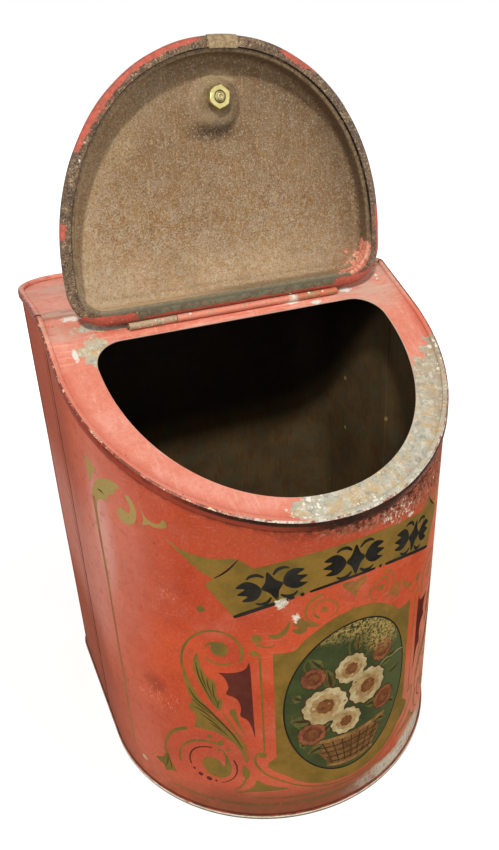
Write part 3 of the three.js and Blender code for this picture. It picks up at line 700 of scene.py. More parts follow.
def plate_look(name, pale=0.0):
    """Salmon paint of the top plate, worn to grey metal round the front of the opening."""
    look = Look(name, gloss=0.12)
    look.color = look.mix(look.cloud(45, 0.35, 0.7, 5, 0.6, 2.0), SALMON, SALMON_DEEP)
    look.coat((214, 112, 86), look.cloud(2.2, 0.45, 0.7, 6, 0.75), 0.5)
    look.coat((246, 196, 172), look.cloud(1.4, 0.56, 0.74, 5, 0.75, 31.0), 0.6)
    # brush-like streaks that run round the opening and along the shelf
    look.coat((244, 190, 168), look.cloud(2.2, 0.54, 0.68, 4, 0.6, 4.0, stretch=(1, 8, 8), distort=0.6), 0.4)
    behind = look.smooth(look.y, -0.012, 0.002)
    for tone, size, high, rough, shift, length in (
        ((246, 184, 156), 1.8, 0.64, 0.6, 14.0, 9),
        ((216, 100, 72), 2.6, 0.66, 0.65, 24.0, 7),
    ):
        marks = look.cloud(size, 0.5, high, 4, rough, shift, stretch=(length, 1, 1), distort=0.5)
        look.coat(tone, look.times(marks, behind), 0.6)
    look.coat(RED_DEEP, look.cloud(2.0, 0.6, 0.76, 6, 0.75, 6.0), 0.6)
    outer = look.outside(look.near((0, BOW_START_Y, 290), (120, 118, 4000), 0.03, 0.06, 8.0, 3.0))
    look.coat((206, 98, 74), look.times(outer, look.smooth(look.y, 0.0, -0.02)), 0.5)
    look.coat((212, 112, 88), look.cloud(8, 0.5, 0.66, 6, 0.75, 77.0), 0.35)
    # greyed paint by the bend of the plate, on the shelf and at its right corner
    grey = look.patches(
        ((-100, 38, 326), (34, 9, 12), 0.6, 1.4, 12.0, 8.0),
        ((104, 24, 322), (34, 34, 22), 0.5, 0.8, 22.0, 9.0),
        ((-60, 96, 326), (60, 22, 12), 0.6, 1.4, 16.0, 10.0),
        ((-116, 20, 320), (14, 9, 9), 0.6, 1.0, 9.0, 11.0),
    )
    look.coat(
        (208, 176, 156), look.times(grey, look.cloud(7, 0.34, 0.58, 6, 0.75, 18.0, stretch=(3, 1, 1))), 0.8,
    )
    smudge = look.near((-96, 40, 326), (30, 7, 12), 0.6, 1.6, 8.0, 48.0)
    smears = look.cloud(6, 0.44, 0.6, 6, 0.75, 58.0, stretch=(3, 1, 1))
    look.coat((150, 122, 104), look.times(smudge, smears), 0.7)
    look.coat((206, 98, 74), look.near((-84, 22, 320), (36, 9, 8), 0.6, 1.2, 12.0, 58.0), 0.5)
    # paint worn through to grey metal round the front and the right of the opening
    metal = look.mix(look.cloud(9, 0.46, 0.6, 5, 0.75, 1.5), METAL_GREY, TAN)
    tanned = look.times(look.smooth(look.x, 0.066, 0.1), look.cloud(14, 0.36, 0.56, 5, 0.7, 21.0))
    metal = look.mix(look.times(tanned, 0.6), metal, (184, 158, 126))
    for tone, share, size, low, high, rough, shift in (
        ((220, 214, 198), 0.8, 4, 0.5, 0.62, 0.75, 8.5),
        ((148, 148, 134), 0.75, 5, 0.52, 0.6, 0.8, 48.5),
        ((150, 120, 84), 0.7, 2.0, 0.56, 0.68, 0.8, 38.5),
        ((214, 140, 116), 0.75, 6, 0.6, 0.66, 0.75, 68.5),
    ):
        metal = look.mix(look.times(look.cloud(size, low, high, 6, rough, shift), share), metal, tone)
    worn = look.patches(
        ((112, -104, 258), (58, 62, 62), 0.16, 0.7, 16.0),
        ((60, -124, 246), (66, 30, 40), 0.2, 0.7, 14.0, 1.0),
        ((8, -124, 242), (42, 14, 20), 0.3, 0.9, 9.0, 2.0),
        ((124, -56, 284), (17, 20, 18), 0.4, 1.5, 8.0, 3.0),
        ((-100, 2, 309), (10, 13, 12), 0.5, 1.8, 6.0, 4.0),
        ((-84, 20, 320), (28, 4.5, 6), 0.4, 1.4, 6.0, 5.0),
    )
    worn = look.smooth(look.add(worn, look.times(look.drift(3.4, 5, 0.75, 71.0), 0.9)), 0.4, 0.6)
    look.coat(metal, worn)
    halo = look.times(look.smooth(worn, 0.08, 0.3), look.smooth(worn, 0.7, 0.4))
    look.coat(look.mix(look.noise(4, 5, 0.7), (186, 148, 122), SALMON_DEEP), halo, 0.3)
    flaked = look.patches(
        ((-22, -121, 244), (13, 10, 12), 0.6, 1.0, 8.0, 21.0),
        ((30, -128, 241), (30, 3, 8), 0.6, 1.0, 8.0, 24.0),
        ((121, -58, 283), (12, 22, 22), 0.5, 1.0, 10.0, 22.0),
        ((113, 34, 326), (6, 22, 10), 0.5, 1.0, 10.0, 23.0),
    )
    flakes = look.most(look.specks(4.4, 2.3, 0.32, 9.0, 1.4), look.specks(2.4, 1.2, 0.4, 29.0, 1.4))
    look.coat((242, 236, 222), look.times(flakes, look.smooth(flaked, 0.3, 0.6)))
    look.coat(CREAM, look.specks(13, 1.5, 0.09, 11.0))
    torn = look.patches(
        ((-107, 29, 325), (7, 2.2, 3), 0.2, 2.4, 2.6, 31.0),
        ((-113, 2, 309), (1.6, 6, 4), 0.2, 2.4, 2.6, 32.0),
        ((40, 13, 316), (6, 2.4, 3), 0.2, 1.6, 3.0, 33.0),
        ((85, 15, 316), (4.4, 2.2, 3), 0.2, 2.0, 3.0, 34.0),
        ((58, 9, 313), (4, 1.6, 3), 0.2, 2.0, 3.0, 35.0),
    )
    look.coat((234, 228, 214), torn)
    # lines that the hinge's lower edge left along the plate
    half_line = 0.5
    for y, tone, share in (
        (2.4, (246, 190, 164), 0.7), (0.2, (206, 102, 74), 0.6), (-1.6, (250, 206, 182), 0.5),
    ):
        mark = look.times(
            look.band(look.y, (y - half_line) * MM, (y + half_line) * MM, 0.0004),
            look.band(look.x, -0.07, 0.08, 0.004),
            look.cloud(9, 0.36, 0.5, 4, 0.7, y, stretch=(3, 1, 1)),
        )
        look.coat(tone, mark, share)
    look.coat(RUST_DARK, look.specks(7, 0.8, 0.16, 19.0), 0.7)
    look.coat((240, 214, 196), pale)
    # the binding's outer edge at the back right keeps dark red paint
    rim = look.outside(look.near((0, BOW_START_Y, 290), (126.9, 124.5, 4000), 0.004, 0.01, 4.0, 13.0))
    rim = look.most(look.times(rim, look.smooth(look.y, 0.0, -0.01)), look.smooth(look.x, 0.1262, 0.1268))
    rim = look.times(rim, look.smooth(look.y, -0.07, -0.05), look.smooth(look.x, 0.0, 0.02))
    look.coat(look.mix(look.cloud(2, 0.42, 0.58, 5, 0.75, 14.0), (158, 70, 58), (96, 54, 44)), rim, 0.85)
    # a brown line along the bend of the plate
    look.coat(RUST, look.smooth(look.off(look.y, (CREASE_Y - 1) * MM), 0.0024, 0.0004), 0.5)
    height = look.add(look.noise(1.8, 6, 0.75), look.times(worn, look.noise(2.6, 6, 0.75, 2.0)))
    return look.finish(look.uneven(0.36, 0.3, 7, shift=3.0), height, 0.35, 0.15)


def tin_inside_look():
    look = Look("old_tin_inside", metallic=0.1, gloss=0.2)
    look.color = look.mix(look.cloud(30, 0.35, 0.7, 6, 0.65), (112, 90, 58), (88, 70, 46))
    look.coat((80, 88, 70), look.cloud(16, 0.45, 0.7, 5, 0.7, 22.0), 0.6)
    look.coat((104, 62, 32), look.cloud(3.0, 0.5, 0.68, 5, 0.65, 2.0, stretch=(1, 1, 7)), 0.6)
    look.coat((70, 52, 34), look.cloud(1.4, 0.52, 0.72, 5, 0.75, 4.0), 0.5)
    look.coat((176, 152, 96), look.specks(16, 1.8, 0.12, 4.0))
    # painted shadow high up at the back and on the right, where the top plate keeps the lamp's light off the
    # walls
    painted_shadow_level = look.add(look.z, look.times(look.y, 1.05))
    look.coat((24, 18, 13), look.smooth(painted_shadow_level, 0.31, 0.334), 0.85)
    return look.finish(look.uneven(0.5, 0.3, 10, 4, 0.6), look.noise(1.2, 5, 0.75), 0.3, 0.12)


def bead_line_look():
    """The worn line on the outer shoulder of the top binding."""
    look = Look("binding_worn_line", metallic=0.1, gloss=0.3)
    bare = look.mix(look.cloud(3, 0.35, 0.6, 5, 0.7, 6.0), (232, 224, 208), (170, 156, 134))
    dark = look.mix(look.noise(7, 4, 0.6), (186, 96, 72), (96, 62, 48))
    bare = look.mix(look.cloud(7, 0.5, 0.6, 5, 0.75, 8.0), bare, dark)
    look.color = look.mix(look.cloud(3, 0.38, 0.52, 5, 0.75, 16.0), (204, 116, 90), (112, 62, 46))
    look.coat((214, 186, 150), look.cloud(4, 0.55, 0.6, 5, 0.75, 26.0))
    look.coat(bare, look.near((16, -120, 246), (76, 60, 60), 0.16, 0.5, 14.0, 3.0))
    look.coat((58, 42, 34), look.cloud(1.7, 0.58, 0.66, 5, 0.8, 3.0))
    return look.finish(look.uneven(0.32, 0.25, 5, 4, 0.6), look.noise(1.5, 5, 0.75), 0.3, 0.15)


def bead_flank_look():
    look = Look("binding_flank_rust_and_shade", gloss=0.05)
    below = look.below_plate()
    dark = look.mix(look.cloud(9, 0.4, 0.62), (56, 32, 22), (38, 24, 17))
    look.color = look.mix(look.cloud(6, 0.4, 0.62, shift=5.0), (150, 62, 44), (112, 48, 36))
    # dark rust with painted shade on the flank round the front
    look.coat(dark, look.near((20, -124, 240), (112, 78, 70), 0.2, 0.6, 16.0, 6.0))
    rag = look.times(look.smooth(below, 0.0014, 0.0034), look.cloud(3, 0.42, 0.56, 5, 0.75, 14.0))
    look.coat((150, 68, 48), rag, 0.6)
    lower = look.smooth(below, -0.0006, 0.0006)
    look.coat((160, 68, 48), look.times(look.smooth(look.x, -0.01, -0.05), lower), 0.75)
    rusty = look.mix(look.cloud(2.0, 0.44, 0.56, 5, 0.8, 34.0), (150, 84, 64), (84, 48, 38))
    rusty = look.mix(look.cloud(1.3, 0.6, 0.66, 4, 0.85, 44.0), rusty, (214, 176, 148))
    look.coat(rusty, look.times(look.smooth(look.x, 0.02, 0.05), lower))
    look.coat((140, 70, 52), look.cloud(2.4, 0.56, 0.68, 5, 0.75, 4.0), 0.5)
    look.coat((176, 160, 134), look.cloud(1.6, 0.68, 0.72, 5, 0.8, 9.0))
    return look.finish(look.uneven(0.45, 0.25, 5, 4, 0.6), look.noise(1.4, 5, 0.75), 0.4, 0.18)


def foot_bead_look():
    look = Look("foot_binding_worn", metallic=0.15, gloss=0.4)
    look.color = look.mix(look.cloud(6, 0.38, 0.64), (240, 230, 206), (212, 196, 160))
    paint = look.mix(look.cloud(5, 0.4, 0.6, shift=12.0), (158, 72, 52), (104, 54, 42))
    wavy = look.add(look.z, look.times(look.drift(9, 5, 0.7, 22.0), 0.0016))
    look.coat(paint, look.smooth(wavy, 0.0027, 0.0032))
    # painted contact shadow on the lower edge, where the binding meets the floor
    look.coat((58, 48, 38), look.smooth(look.z, 0.002, 0.0015), 0.9)
    look.coat((150, 84, 62), look.cloud(11, 0.62, 0.68, shift=8.0), 0.8)
    look.coat((98, 82, 58), look.cloud(1.6, 0.58, 0.7, 5, 0.8, 3.0), 0.7)
    return look.finish(look.uneven(0.32, 0.25, 5, 4, 0.6), look.noise(1.5, 5, 0.75), 0.3, 0.15)


def lid_inside_look(name, crevice=0.0):
    """Bare tinplate gone brown, with grains of rust, and painted light and shade round the knob's seat, the
    cove and the wall.
    """
    look = Look(name, metallic=0.1, gloss=0.3)
    pale = look.mix(look.cloud(24, 0.36, 0.64, 6, 0.66), (194, 176, 150), (184, 160, 126))
    rusty = look.mix(look.cloud(15, 0.4, 0.62, 5, 0.7, 9.0), (164, 116, 58), (144, 104, 62))
    spread = look.add(look.noise(0.95, 3, 0.8, 3.0), look.times(look.drift(6.5, 4, 0.65, 4.0), 0.42))
    look.color = look.mix(look.smooth(spread, 0.44, 0.56), pale, rusty)
    look.coat((80, 57, 36), look.cloud(0.85, 0.52, 0.62, 3, 0.8, 13.0), 0.78)
    look.coat((112, 86, 60), look.smooth(look.z, 0.355, 0.46), 0.58)
    look.coat((236, 206, 166), look.smooth(look.z, 0.376, 0.332), 0.4)
    look.coat((104, 80, 56), look.smooth(look.x, 0.03, 0.1), 0.4)
    look.coat((104, 80, 52), look.on_lid(10, 84, 12, (80, 40, 46), 0.5, 0.4, 30.0, 27.0), 0.26)
    look.coat((110, 86, 60), look.cloud(38, 0.5, 0.68, 4, 0.55, 17.0), 0.25)
    look.coat((214, 192, 158), look.cloud(0.8, 0.6, 0.7, 3, 0.8, 23.0), 0.4)
    look.coat((190, 160, 116), look.cloud(1.6, 0.54, 0.68, 4, 0.6, 5.0, stretch=(1, 1, 10)), 0.4)
    look.coat((112, 80, 46), look.cloud(2.6, 0.54, 0.68, 4, 0.65, 95.0, stretch=(1, 1, 9)), 0.2)
    # light and shade on the round seat of the knob, broken up by the rust
    broken = look.add(look.times(look.cloud(1.0, 0.4, 0.6, 3, 0.8, 53.0), 0.75), 0.4)
    for x, u, w, radii, share, tone in (
        (0, 0, 6, (19, 14, 17), 0.25, (196, 166, 124)),
        (2.5, 9.8, 11, (8.5, 8, 4.2), 0.85, (226, 200, 150)),
        (-1, -3.5, 6, (8, 8, 9), 0.6, (84, 62, 42)),
        (-2, -11.4, 9, (10, 8, 4), 0.6, (210, 182, 138)),
        (-3, -19, 9, (15, 12, 5.6), 0.95, (44, 32, 22)),
    ):
        look.coat(tone, look.times(look.on_lid(x, KNOB_U + u, w, radii, 0.6, 0.5, 6.0), broken), share)
    stain = look.on_lid(-60, 112, 12, (5, 9, 17), 0.7, 1.8, 4.0)
    look.coat((214, 182, 122), look.times(stain, look.cloud(1.6, 0.46, 0.6, 4, 0.7, 91.0)), 0.5)
    # painted shade in the cove and on the wall where the rim shades them, and painted light where they face
    # the lamp, darker again near the top; pale scuffs on the flange, and the bottom wall dimmed
    depth = look.lid_depth()
    wall = look.times(look.smooth(depth, 0.0125, 0.0095), look.smooth(depth, 0.0004, 0.0016))
    shadowed = look.most(look.smooth(look.x, -0.05, 0.01), look.smooth(look.z, 0.44, 0.465))
    bright = look.outside(shadowed)
    look.coat((74, 60, 44), look.times(wall, shadowed, broken), 0.7)
    look.coat((198, 170, 132), look.times(wall, bright, broken), 0.7)
    rimmed = look.outside(look.on_lid(0, 36, 10, (93, 60, 105), 0.13, 0.08, 12.0))
    look.coat((62, 48, 34), look.times(rimmed, shadowed, broken), 0.32)
    sunlit = look.times(look.outside(look.on_lid(0, 36, 10, (86, 60, 98), 0.12, 0.1, 12.0)), bright)
    look.coat((210, 182, 142), look.times(sunlit, broken), 0.5)
    look.coat((98, 76, 54), look.times(sunlit, look.smooth(look.z, 0.4, 0.44)), 0.34)
    # a tan tone dims the light that the bottom wall catches, as painted shade
    tan = look.mix(look.cloud(2, 0.4, 0.6, 5, 0.75), (160, 138, 104), (112, 94, 66))
    look.coat(tan, look.times(look.above_wire(17, 15), look.smooth(depth, 0.002, 0.004)), 0.3)
    flange = look.smooth(depth, 0.0016, 0.0008)
    look.coat(look.mix(look.cloud(2.0, 0.4, 0.62, 5, 0.75, 6.0), (142, 120, 90), (84, 66, 46)), flange, 0.8)
    under = look.times(flange, look.above_wire(13, 10))
    look.coat(look.mix(look.noise(4, 5, 0.7), (138, 134, 112), (98, 92, 70)), under, 0.8)
    look.coat((200, 184, 158), look.on_lid(-88, 22, 12, (22, 12, 16), 0.6, 0.8, 8.0, 28.0), 0.3)
    # fine grain all over the panel, and coarser grain low down
    panel = look.smooth(depth, 0.006, 0.01)
    patchy = look.times(panel, look.smooth(look.z, 0.43, 0.37))
    for zone, tone, share, size, low, high, rough, shift in (
        (panel, (122, 86, 44), 0.5, 1.05, 0.5, 0.6, 0.8, 63.0),
        (panel, (212, 194, 166), 0.44, 1.25, 0.55, 0.64, 0.8, 73.0),
        (patchy, (156, 106, 44), 0.3, 2.1, 0.5, 0.56, 0.85, 103.0),
        (patchy, (204, 192, 176), 0.3, 2.3, 0.54, 0.6, 0.85, 113.0),
    ):
        look.coat(tone, look.times(zone, look.cloud(size, low, high, 3, rough, shift)), share)
    # red paint that laps over the right corner
    red = look.mix(look.cloud(2.0, 0.42, 0.58, 5, 0.75, 81.0), (212, 112, 88), (232, 176, 150))
    look.coat(red, look.smooth(look.on_lid(97, 20, 2, (20, 9, 12), 0.5, 2.2, 4.0, 8.0), 0.4, 0.6))
    # dirt and painted shade in the crevice by the flange, away from the hinge
    if crevice:
        gap = look.times(look.cloud(5, 0.36, 0.5, 4, 0.7, 3.0), look.smooth(look.z, 0.345, 0.375))
        look.coat((24, 18, 14), gap, crevice)
    return look.finish(look.uneven(0.5, 0.3, 6), look.noise(0.9, 5, 0.8), 0.55, 0.18)


def lid_outside_look():
    look = Look("red_lid_outside", gloss=0.25)
    look.color = look.mix(look.cloud(40, 0.35, 0.7, 5, 0.6), RED, SALMON_DEEP)
    look.coat(RED_LIGHT, look.cloud(3, 0.5, 0.75, 6, 0.7), 0.4)
    look.coat(MAROON, look.cloud(2.2, 0.62, 0.78, 6, 0.75, 6.0), 0.6)
    edge = look.outside(look.on_lid(0, 70, 12, (96, 12, 74), 0.16, 0.5, 12.0))
    bare = look.mix(look.noise(3, 5, 0.7), TAN, TIN_DULL)
    look.coat(bare, look.times(edge, look.cloud(8, 0.5, 0.62, 5, 0.7, 4.0)), 0.8)
    look.coat(RUST, look.on_lid(0, KNOB_U, 12, (12, 12, 12), 0.25, 0.6, 4.0), 0.6)
    look.coat(CREAM, look.specks(9, 1.6, 0.12, 3.0))
    return look.finish(look.uneven(0.32, 0.3, 9), look.noise(1.8, 5, 0.7), 0.25, 0.12)


def lid_band_look():
    look = Look("worn_lid_binding", metallic=0.1, gloss=0.4)
    look.color = look.mix(look.cloud(13, 0.35, 0.65, 5, 0.65), (130, 102, 74), (92, 70, 48))
    crinkles = look.noise(2.4, 5, 0.8, 4.0, distort=1.4)
    look.coat((60, 44, 32), look.smooth(crinkles, 0.47, 0.56))
    look.coat((196, 170, 132), look.cloud(3.2, 0.56, 0.62, 5, 0.75, 24.0, distort=1.8), 0.7)
    look.coat((214, 194, 160), look.cloud(1.4, 0.57, 0.66, 5, 0.8, 14.0), 0.8)
    # green-grey middle of the straight side, and the places that keep red paint
    middle = look.band(look.x, -0.066, 0.074, 0.006)
    green = look.mix(look.cloud(4, 0.42, 0.6, 5, 0.75, 51.0), (124, 120, 94), (94, 88, 66))
    green = look.mix(look.times(look.cloud(2, 0.54, 0.62, 5, 0.75, 52.0), 0.8), green, (150, 92, 66))
    look.coat(green, look.times(middle, look.above_wire(12, 10)))
    red = look.most(
        look.times(look.band(look.x, -0.094, -0.022, 0.004), look.smooth(look.z, 0.418, 0.424)),
        look.on_lid(-108, 62, 0, (6, 8, 5), 0.3, 1.4, 6.0, 2.0),
        look.on_lid(54, 147, 0, (17, 8, 9), 0.3, 1.3, 7.0, 3.0),
        look.on_lid(-26, 158, 0, (16, 8, 5), 0.4, 1.5, 6.0, 3.2),
        look.on_lid(111, 38, 0, (7, 8, 20), 0.3, 1.2, 8.0, 4.0),
        look.on_lid(-92, 3, 0, (26, 8, 9), 0.3, 1.0, 8.0, 5.0),
        look.on_lid(96, 5, 0, (24, 8, 12), 0.3, 1.0, 8.0, 6.0),
        look.times(middle, look.above_wire(6.4, 4.4)),
    )
    paint = look.mix(look.cloud(4, 0.4, 0.62, 5, 0.7, 2.0), (200, 88, 68), (170, 82, 62))
    paint = look.mix(look.times(look.cloud(1.5, 0.54, 0.66, 5, 0.8, 5.0), 0.75), paint, (98, 58, 44))
    paint = look.mix(look.times(look.cloud(1.3, 0.58, 0.68, 4, 0.8, 65.0), 0.7), paint, (226, 176, 148))
    depth = look.math("ABSOLUTE", look.lid_depth())
    outward = look.most(look.smooth(depth, 0.0023, 0.0015), look.above_wire(12, 6))
    share = look.times(red, look.math("ADD", outward, 0.3, clamp=True))
    torn = look.times(look.drift(3.0, 6, 0.8, 33.0, distort=0.8), 1.6, red)
    look.coat(paint, look.smooth(look.add(share, torn), 0.42, 0.62))
    look.coat((70, 54, 40), look.smooth(depth, 0.0016, 0.0008), 0.25)
    look.coat(CREAM, look.specks(5, 1.1, 0.12, 4.0, 1.6))
    # bare tin of the lap
    lap = look.band(look.x, (LAP_X - LAP_HALF) * MM, (LAP_X + LAP_HALF) * MM, 0.0002)
    lap_tin = look.mix(look.cloud(2.2, 0.42, 0.6, 5, 0.75, 37.0), (172, 148, 110), (134, 110, 78))
    look.coat(lap_tin, look.times(lap, look.smooth(look.z, 0.43, 0.44)))
    height = look.add(look.noise(1.3, 5, 0.75), look.times(crinkles, 2.0))
    return look.finish(look.uneven(0.4, 0.25, 5, 4, 0.6), height, 0.6, 0.3)


def hinge_look(name, paint_share, paint, metal_color, chips, shift):
    look = Look(name, metallic=0.1, gloss=0.3)
    look.color = look.mix(look.noise(6, 4, 0.6, shift), *paint)
    bare = look.mix(look.noise(2.5, 5, 0.7, shift), metal_color, (132, 116, 90))
    look.coat(bare, look.cloud(5, paint_share - 0.06, paint_share + 0.06, 5, 0.7, shift + 3))
    look.coat((104, 58, 42), look.cloud(1.6, 0.56, 0.66, 5, 0.75, shift + 6), 0.6)
    look.coat(CREAM, look.specks(2.6, 1.2, chips * 2, shift, 1.6))
    look.coat((238, 232, 218), look.near((41, 14, 317), (7, 4, 4), 0.2, 1.6, 3.0, 3.0))
    return look.finish(look.uneven(0.38, 0.25, 4, 4, 0.6), look.noise(1.2, 4, 0.7), 0.3, 0.12)


def brass_look(name, first, second, rough_low, tarnish):
    look = Look(name, metallic=1.0)
    look.color = look.mix(look.cloud(4, 0.35, 0.65, 5, 0.65), first, second)
    look.coat((104, 78, 36), look.cloud(1.2, 0.52, 0.72, 5, 0.75, 2.0), tarnish)
    return look.finish(look.uneven(rough_low, 0.25, 2.5), look.noise(0.8, 4, 0.7), 0.25, 0.06)


def plain_tin_look(name, first, second, metallic=0.4):
    look = Look(name, metallic=metallic)
    look.color = look.mix(look.cloud(12, 0.35, 0.68, 6, 0.7), first, second)
    look.coat((82, 60, 40), look.cloud(1.4, 0.52, 0.72, 5, 0.75, 4.0), 0.5)
    return look.finish(look.uneven(0.36, 0.3, 5), look.noise(1.3, 5, 0.75), 0.3, 0.12)


WALL = wall_look()
PLATE = plate_look("salmon_plate_paint")
HEM = plate_look("opening_hem_worn", 0.5)
TIN_INSIDE = tin_inside_look()
BEAD_LINE = bead_line_look()
BEAD_FLANK = bead_flank_look()
FOOT_BEAD = foot_bead_look()
LID_INSIDE = lid_inside_look("rusted_lid_inside")
LID_CREVICE = lid_inside_look("lid_flange_crevice", 0.95)
LID_OUTSIDE = lid_outside_look()
LID_BAND = lid_band_look()
STRAP_LEFT = hinge_look(
    "hinge_strap_worn", 0.44, ((232, 168, 142), (206, 138, 112)), (218, 196, 160), 0.24, 1.0,
)
STRAP_RIGHT = hinge_look(
    "hinge_strap_painted", 0.54, ((228, 126, 96), (196, 112, 78)), (198, 164, 110), 0.12, 5.0,
)
LEAF = hinge_look("hinge_leaf_paint", 0.62, ((240, 162, 136), (222, 128, 102)), (222, 190, 160), 0.06, 9.0)
WIRE = plain_tin_look("hinge_wire_iron", (128, 116, 96), (98, 84, 66))
FLOOR_TIN = plain_tin_look("bottom_tin", (120, 104, 78), (92, 74, 52), 0.3)
BRASS_NUT = brass_look("nut_brass", (222, 212, 150), (196, 182, 116), 0.24, 0.4)
BRASS_KNOB = brass_look("knob_brass", (206, 172, 92), (178, 138, 66), 0.2, 0.6)
STUD_IRON = plain_tin_look("stud_iron", (196, 184, 138), (150, 134, 92), 0.8)


# Walls
def side_arc(y):
    """Length from the middle of the bow to a point on the straight right side."""
    for k, (x, sy, _, _) in ARC:
        if x > BIN_WIDTH / 2 - 0.01 and sy >= y:
            return k - (sy - y)
    raise ValueError("no such side point")


SEAM_S = side_arc(SEAM_Y)


def wall_grid(s_values, out, rows=44):
    grid = []
    for s in s_values:
        _, y, _, ny = wall_frame(s)
        top = plate_top(y + out * ny) + WALL_ABOVE_PLATE
        grid.append([wall_point(s, WALL_FOOT + (top - WALL_FOOT) * j / (rows - 1), out) for j in range(rows)])
    return grid


def spaced(low, high, step, marks=()):
    count = max(2, round((high - low) / step))
    values = [low + (high - low) * i / count for i in range(count + 1)] + [m for m in marks if low < m < high]
    return sorted(set(round(v, 4) for v in values))


front_s = spaced(-SEAM_S, SEAM_S, 2.4)
verts, faces, sides = shell(wall_grid(front_s, 0.0), wall_grid(front_s, -SHEET))
piece("front_wall", verts, faces, "bin", [WALL, TIN_INSIDE], sides, covers=["front_sheet"])


def seam_tab(side):
    steps = [
        (SEAM_Y + 6.0, 0.4), (SEAM_Y + 4.0, 0.4), (SEAM_Y + GAP, INSIDE_WALL), (SEAM_Y - 8.0, INSIDE_WALL),
    ]
    outer, inner = [], []
    for y, inward in steps:
        x = side * (BIN_WIDTH / 2 - inward)
        rows = [8.0 + (plate_top(y) - 12.0) * j / 12 for j in range(13)]
        outer.append([Vector((x, y, z)) for z in rows])
        inner.append([Vector((x - side * SHEET, y, z)) for z in rows])
    return shell(outer, inner)


crease_s = side_arc(CREASE_Y)
back_s = spaced(SEAM_S + GAP, ARC_LENGTH - SEAM_S - GAP, 2.6, (crease_s, ARC_LENGTH - crease_s))
verts, faces, sides = shell(wall_grid(back_s, 0.0), wall_grid(back_s, -SHEET))
for side in (-1, 1):
    tab_verts, tab_faces, _ = seam_tab(side)
    extend(verts, faces, sides, tab_verts, tab_faces, [1] * len(tab_faces))
piece("back_wall", verts, faces, "bin", [WALL, TIN_INSIDE], sides, covers=["back_sheet"])


# Top plate with its hemmed opening
def opening_plan(out):
    """The opening's edge seen from above, out from the opening by a distance along the slope."""
    loop = []
    for x, y, nx, ny in outline(**OPENING):
        p = SLOPE_PLACE @ Vector((x + out * nx, y + out * ny, 0))
        loop.append((p.x, p.y))
    return loop


def plate_level(x, y):
    d = CREASE_Y - y
    fall = max(0.0, d)
    if abs(d) <= BEND_SOFT:
        fall = (d + BEND_SOFT) ** 2 / (4 * BEND_SOFT)
    waves = 0.16 * wave(x, y, 28, 24, 1.7) + 0.05 * wave(x, y, 9, 9, 5.1)
    return SHELF_HEIGHT - fall * math.tan(SLOPE) + waves


body_ring = outline(**BODY, marks=(CREASE_Y, CREASE_Y + BEND_SOFT, CREASE_Y - BEND_SOFT))
plate_rim = [(x - INSIDE_WALL * nx, y - INSIDE_WALL * ny) for x, y, nx, ny in body_ring]
bend_rows = [(x, CREASE_Y + d) for d in (-BEND_SOFT, -0.8, 0.0, 0.8, BEND_SOFT) for x in range(-122, 123, 4)]
plan, plate_faces = filled([plate_rim, opening_plan(0.4)], 5.0, bend_rows)
upper = [Vector((p[0], p[1], plate_level(p[0], p[1]))) for p in plan]
lower = [Vector((p.x, p.y, p.z - SHEET)) for p in upper]
verts, faces, sides = thick(upper, lower, plate_faces)
hem = 0.75
hem_turns = [math.radians(-90 - 22.5 * i) for i in range(9)]
hem_section = [(hem + hem * math.cos(a), hem * math.sin(a) - SHEET) for a in hem_turns]
hem_section += [(5.0, hem - SHEET - GAP), (5.0, -hem - SHEET)]
hem_verts, hem_faces = sweep(outline(**OPENING), hem_section)
extend(verts, faces, sides, [SLOPE_PLACE @ Vector(v) for v in hem_verts], hem_faces, [2] * len(hem_faces))
piece("top_plate", verts, faces, "bin", [PLATE, TIN_INSIDE, HEM], sides, covers=["top_panel"])


# Bindings over the walls' edges
def arc_points(cx, cz, rx, rz, start, end, steps):
    turns = [start + (end - start) * i / steps for i in range(steps + 1)]
    return [(cx + rx * math.cos(a), cz + rz * math.sin(a)) for a in turns]


bead_section = [(GAP, -3.2), (1.05, -3.2), (1.45, -3.0), (1.68, -2.5)]
bead_section += arc_points(-0.36, 1.7, 2.04, 1.2, 0, math.pi, 14)
bead_section += [(-2.4, GAP), (-INSIDE_WALL, GAP), (-INSIDE_WALL, 1.4), (GAP, 1.4)]
ring = outline(**BODY, side=14, marks=(CREASE_Y + 0.7, CREASE_Y - 0.7))
front_run = [p for p in ring if p[1] <= CREASE_Y - 0.6]
back_run = [p for p in ring if p[1] >= CREASE_Y + 0.6]
split = next(i for i, p in enumerate(back_run) if p[0] > 0)
back_run = back_run[split:] + back_run[:split]
verts, faces = joined(*[sweep(run, bead_section, plate_top, False) for run in (front_run, back_run)])
# Round the section: rusted flank, a worn line on the outer shoulder, then the plate's paint and its wear
round_section = [1] * 6 + [2] * 3 + [0] * 10 + [1] * 4
bead_sides = []
for run in (front_run, back_run):
    bead_sides += round_section * (len(run) - 1) + [1, 1]
looks = [PLATE, BEAD_FLANK, BEAD_LINE]
piece(
    "top_binding", wobbled(verts, 0.14, 16.0), faces, "bin", looks, bead_sides,
    covers=["top_seam_bead"],
)

foot_section = [
    (-2.0, 0), (0.7, 0), (1.05, 0.15), (1.2, 0.5), (1.2, 3.1), (1.05, 3.45), (0.7, 3.6), (GAP, 3.6),
    (GAP, 1.2),
]
foot_section += [(-INSIDE_WALL, 1.2), (-INSIDE_WALL, 3.6), (-2.0, 3.6)]
verts, faces = sweep(outline(**BODY), foot_section)
piece("foot_binding", verts, faces, "bin", [FOOT_BEAD], covers=["foot_bead"])


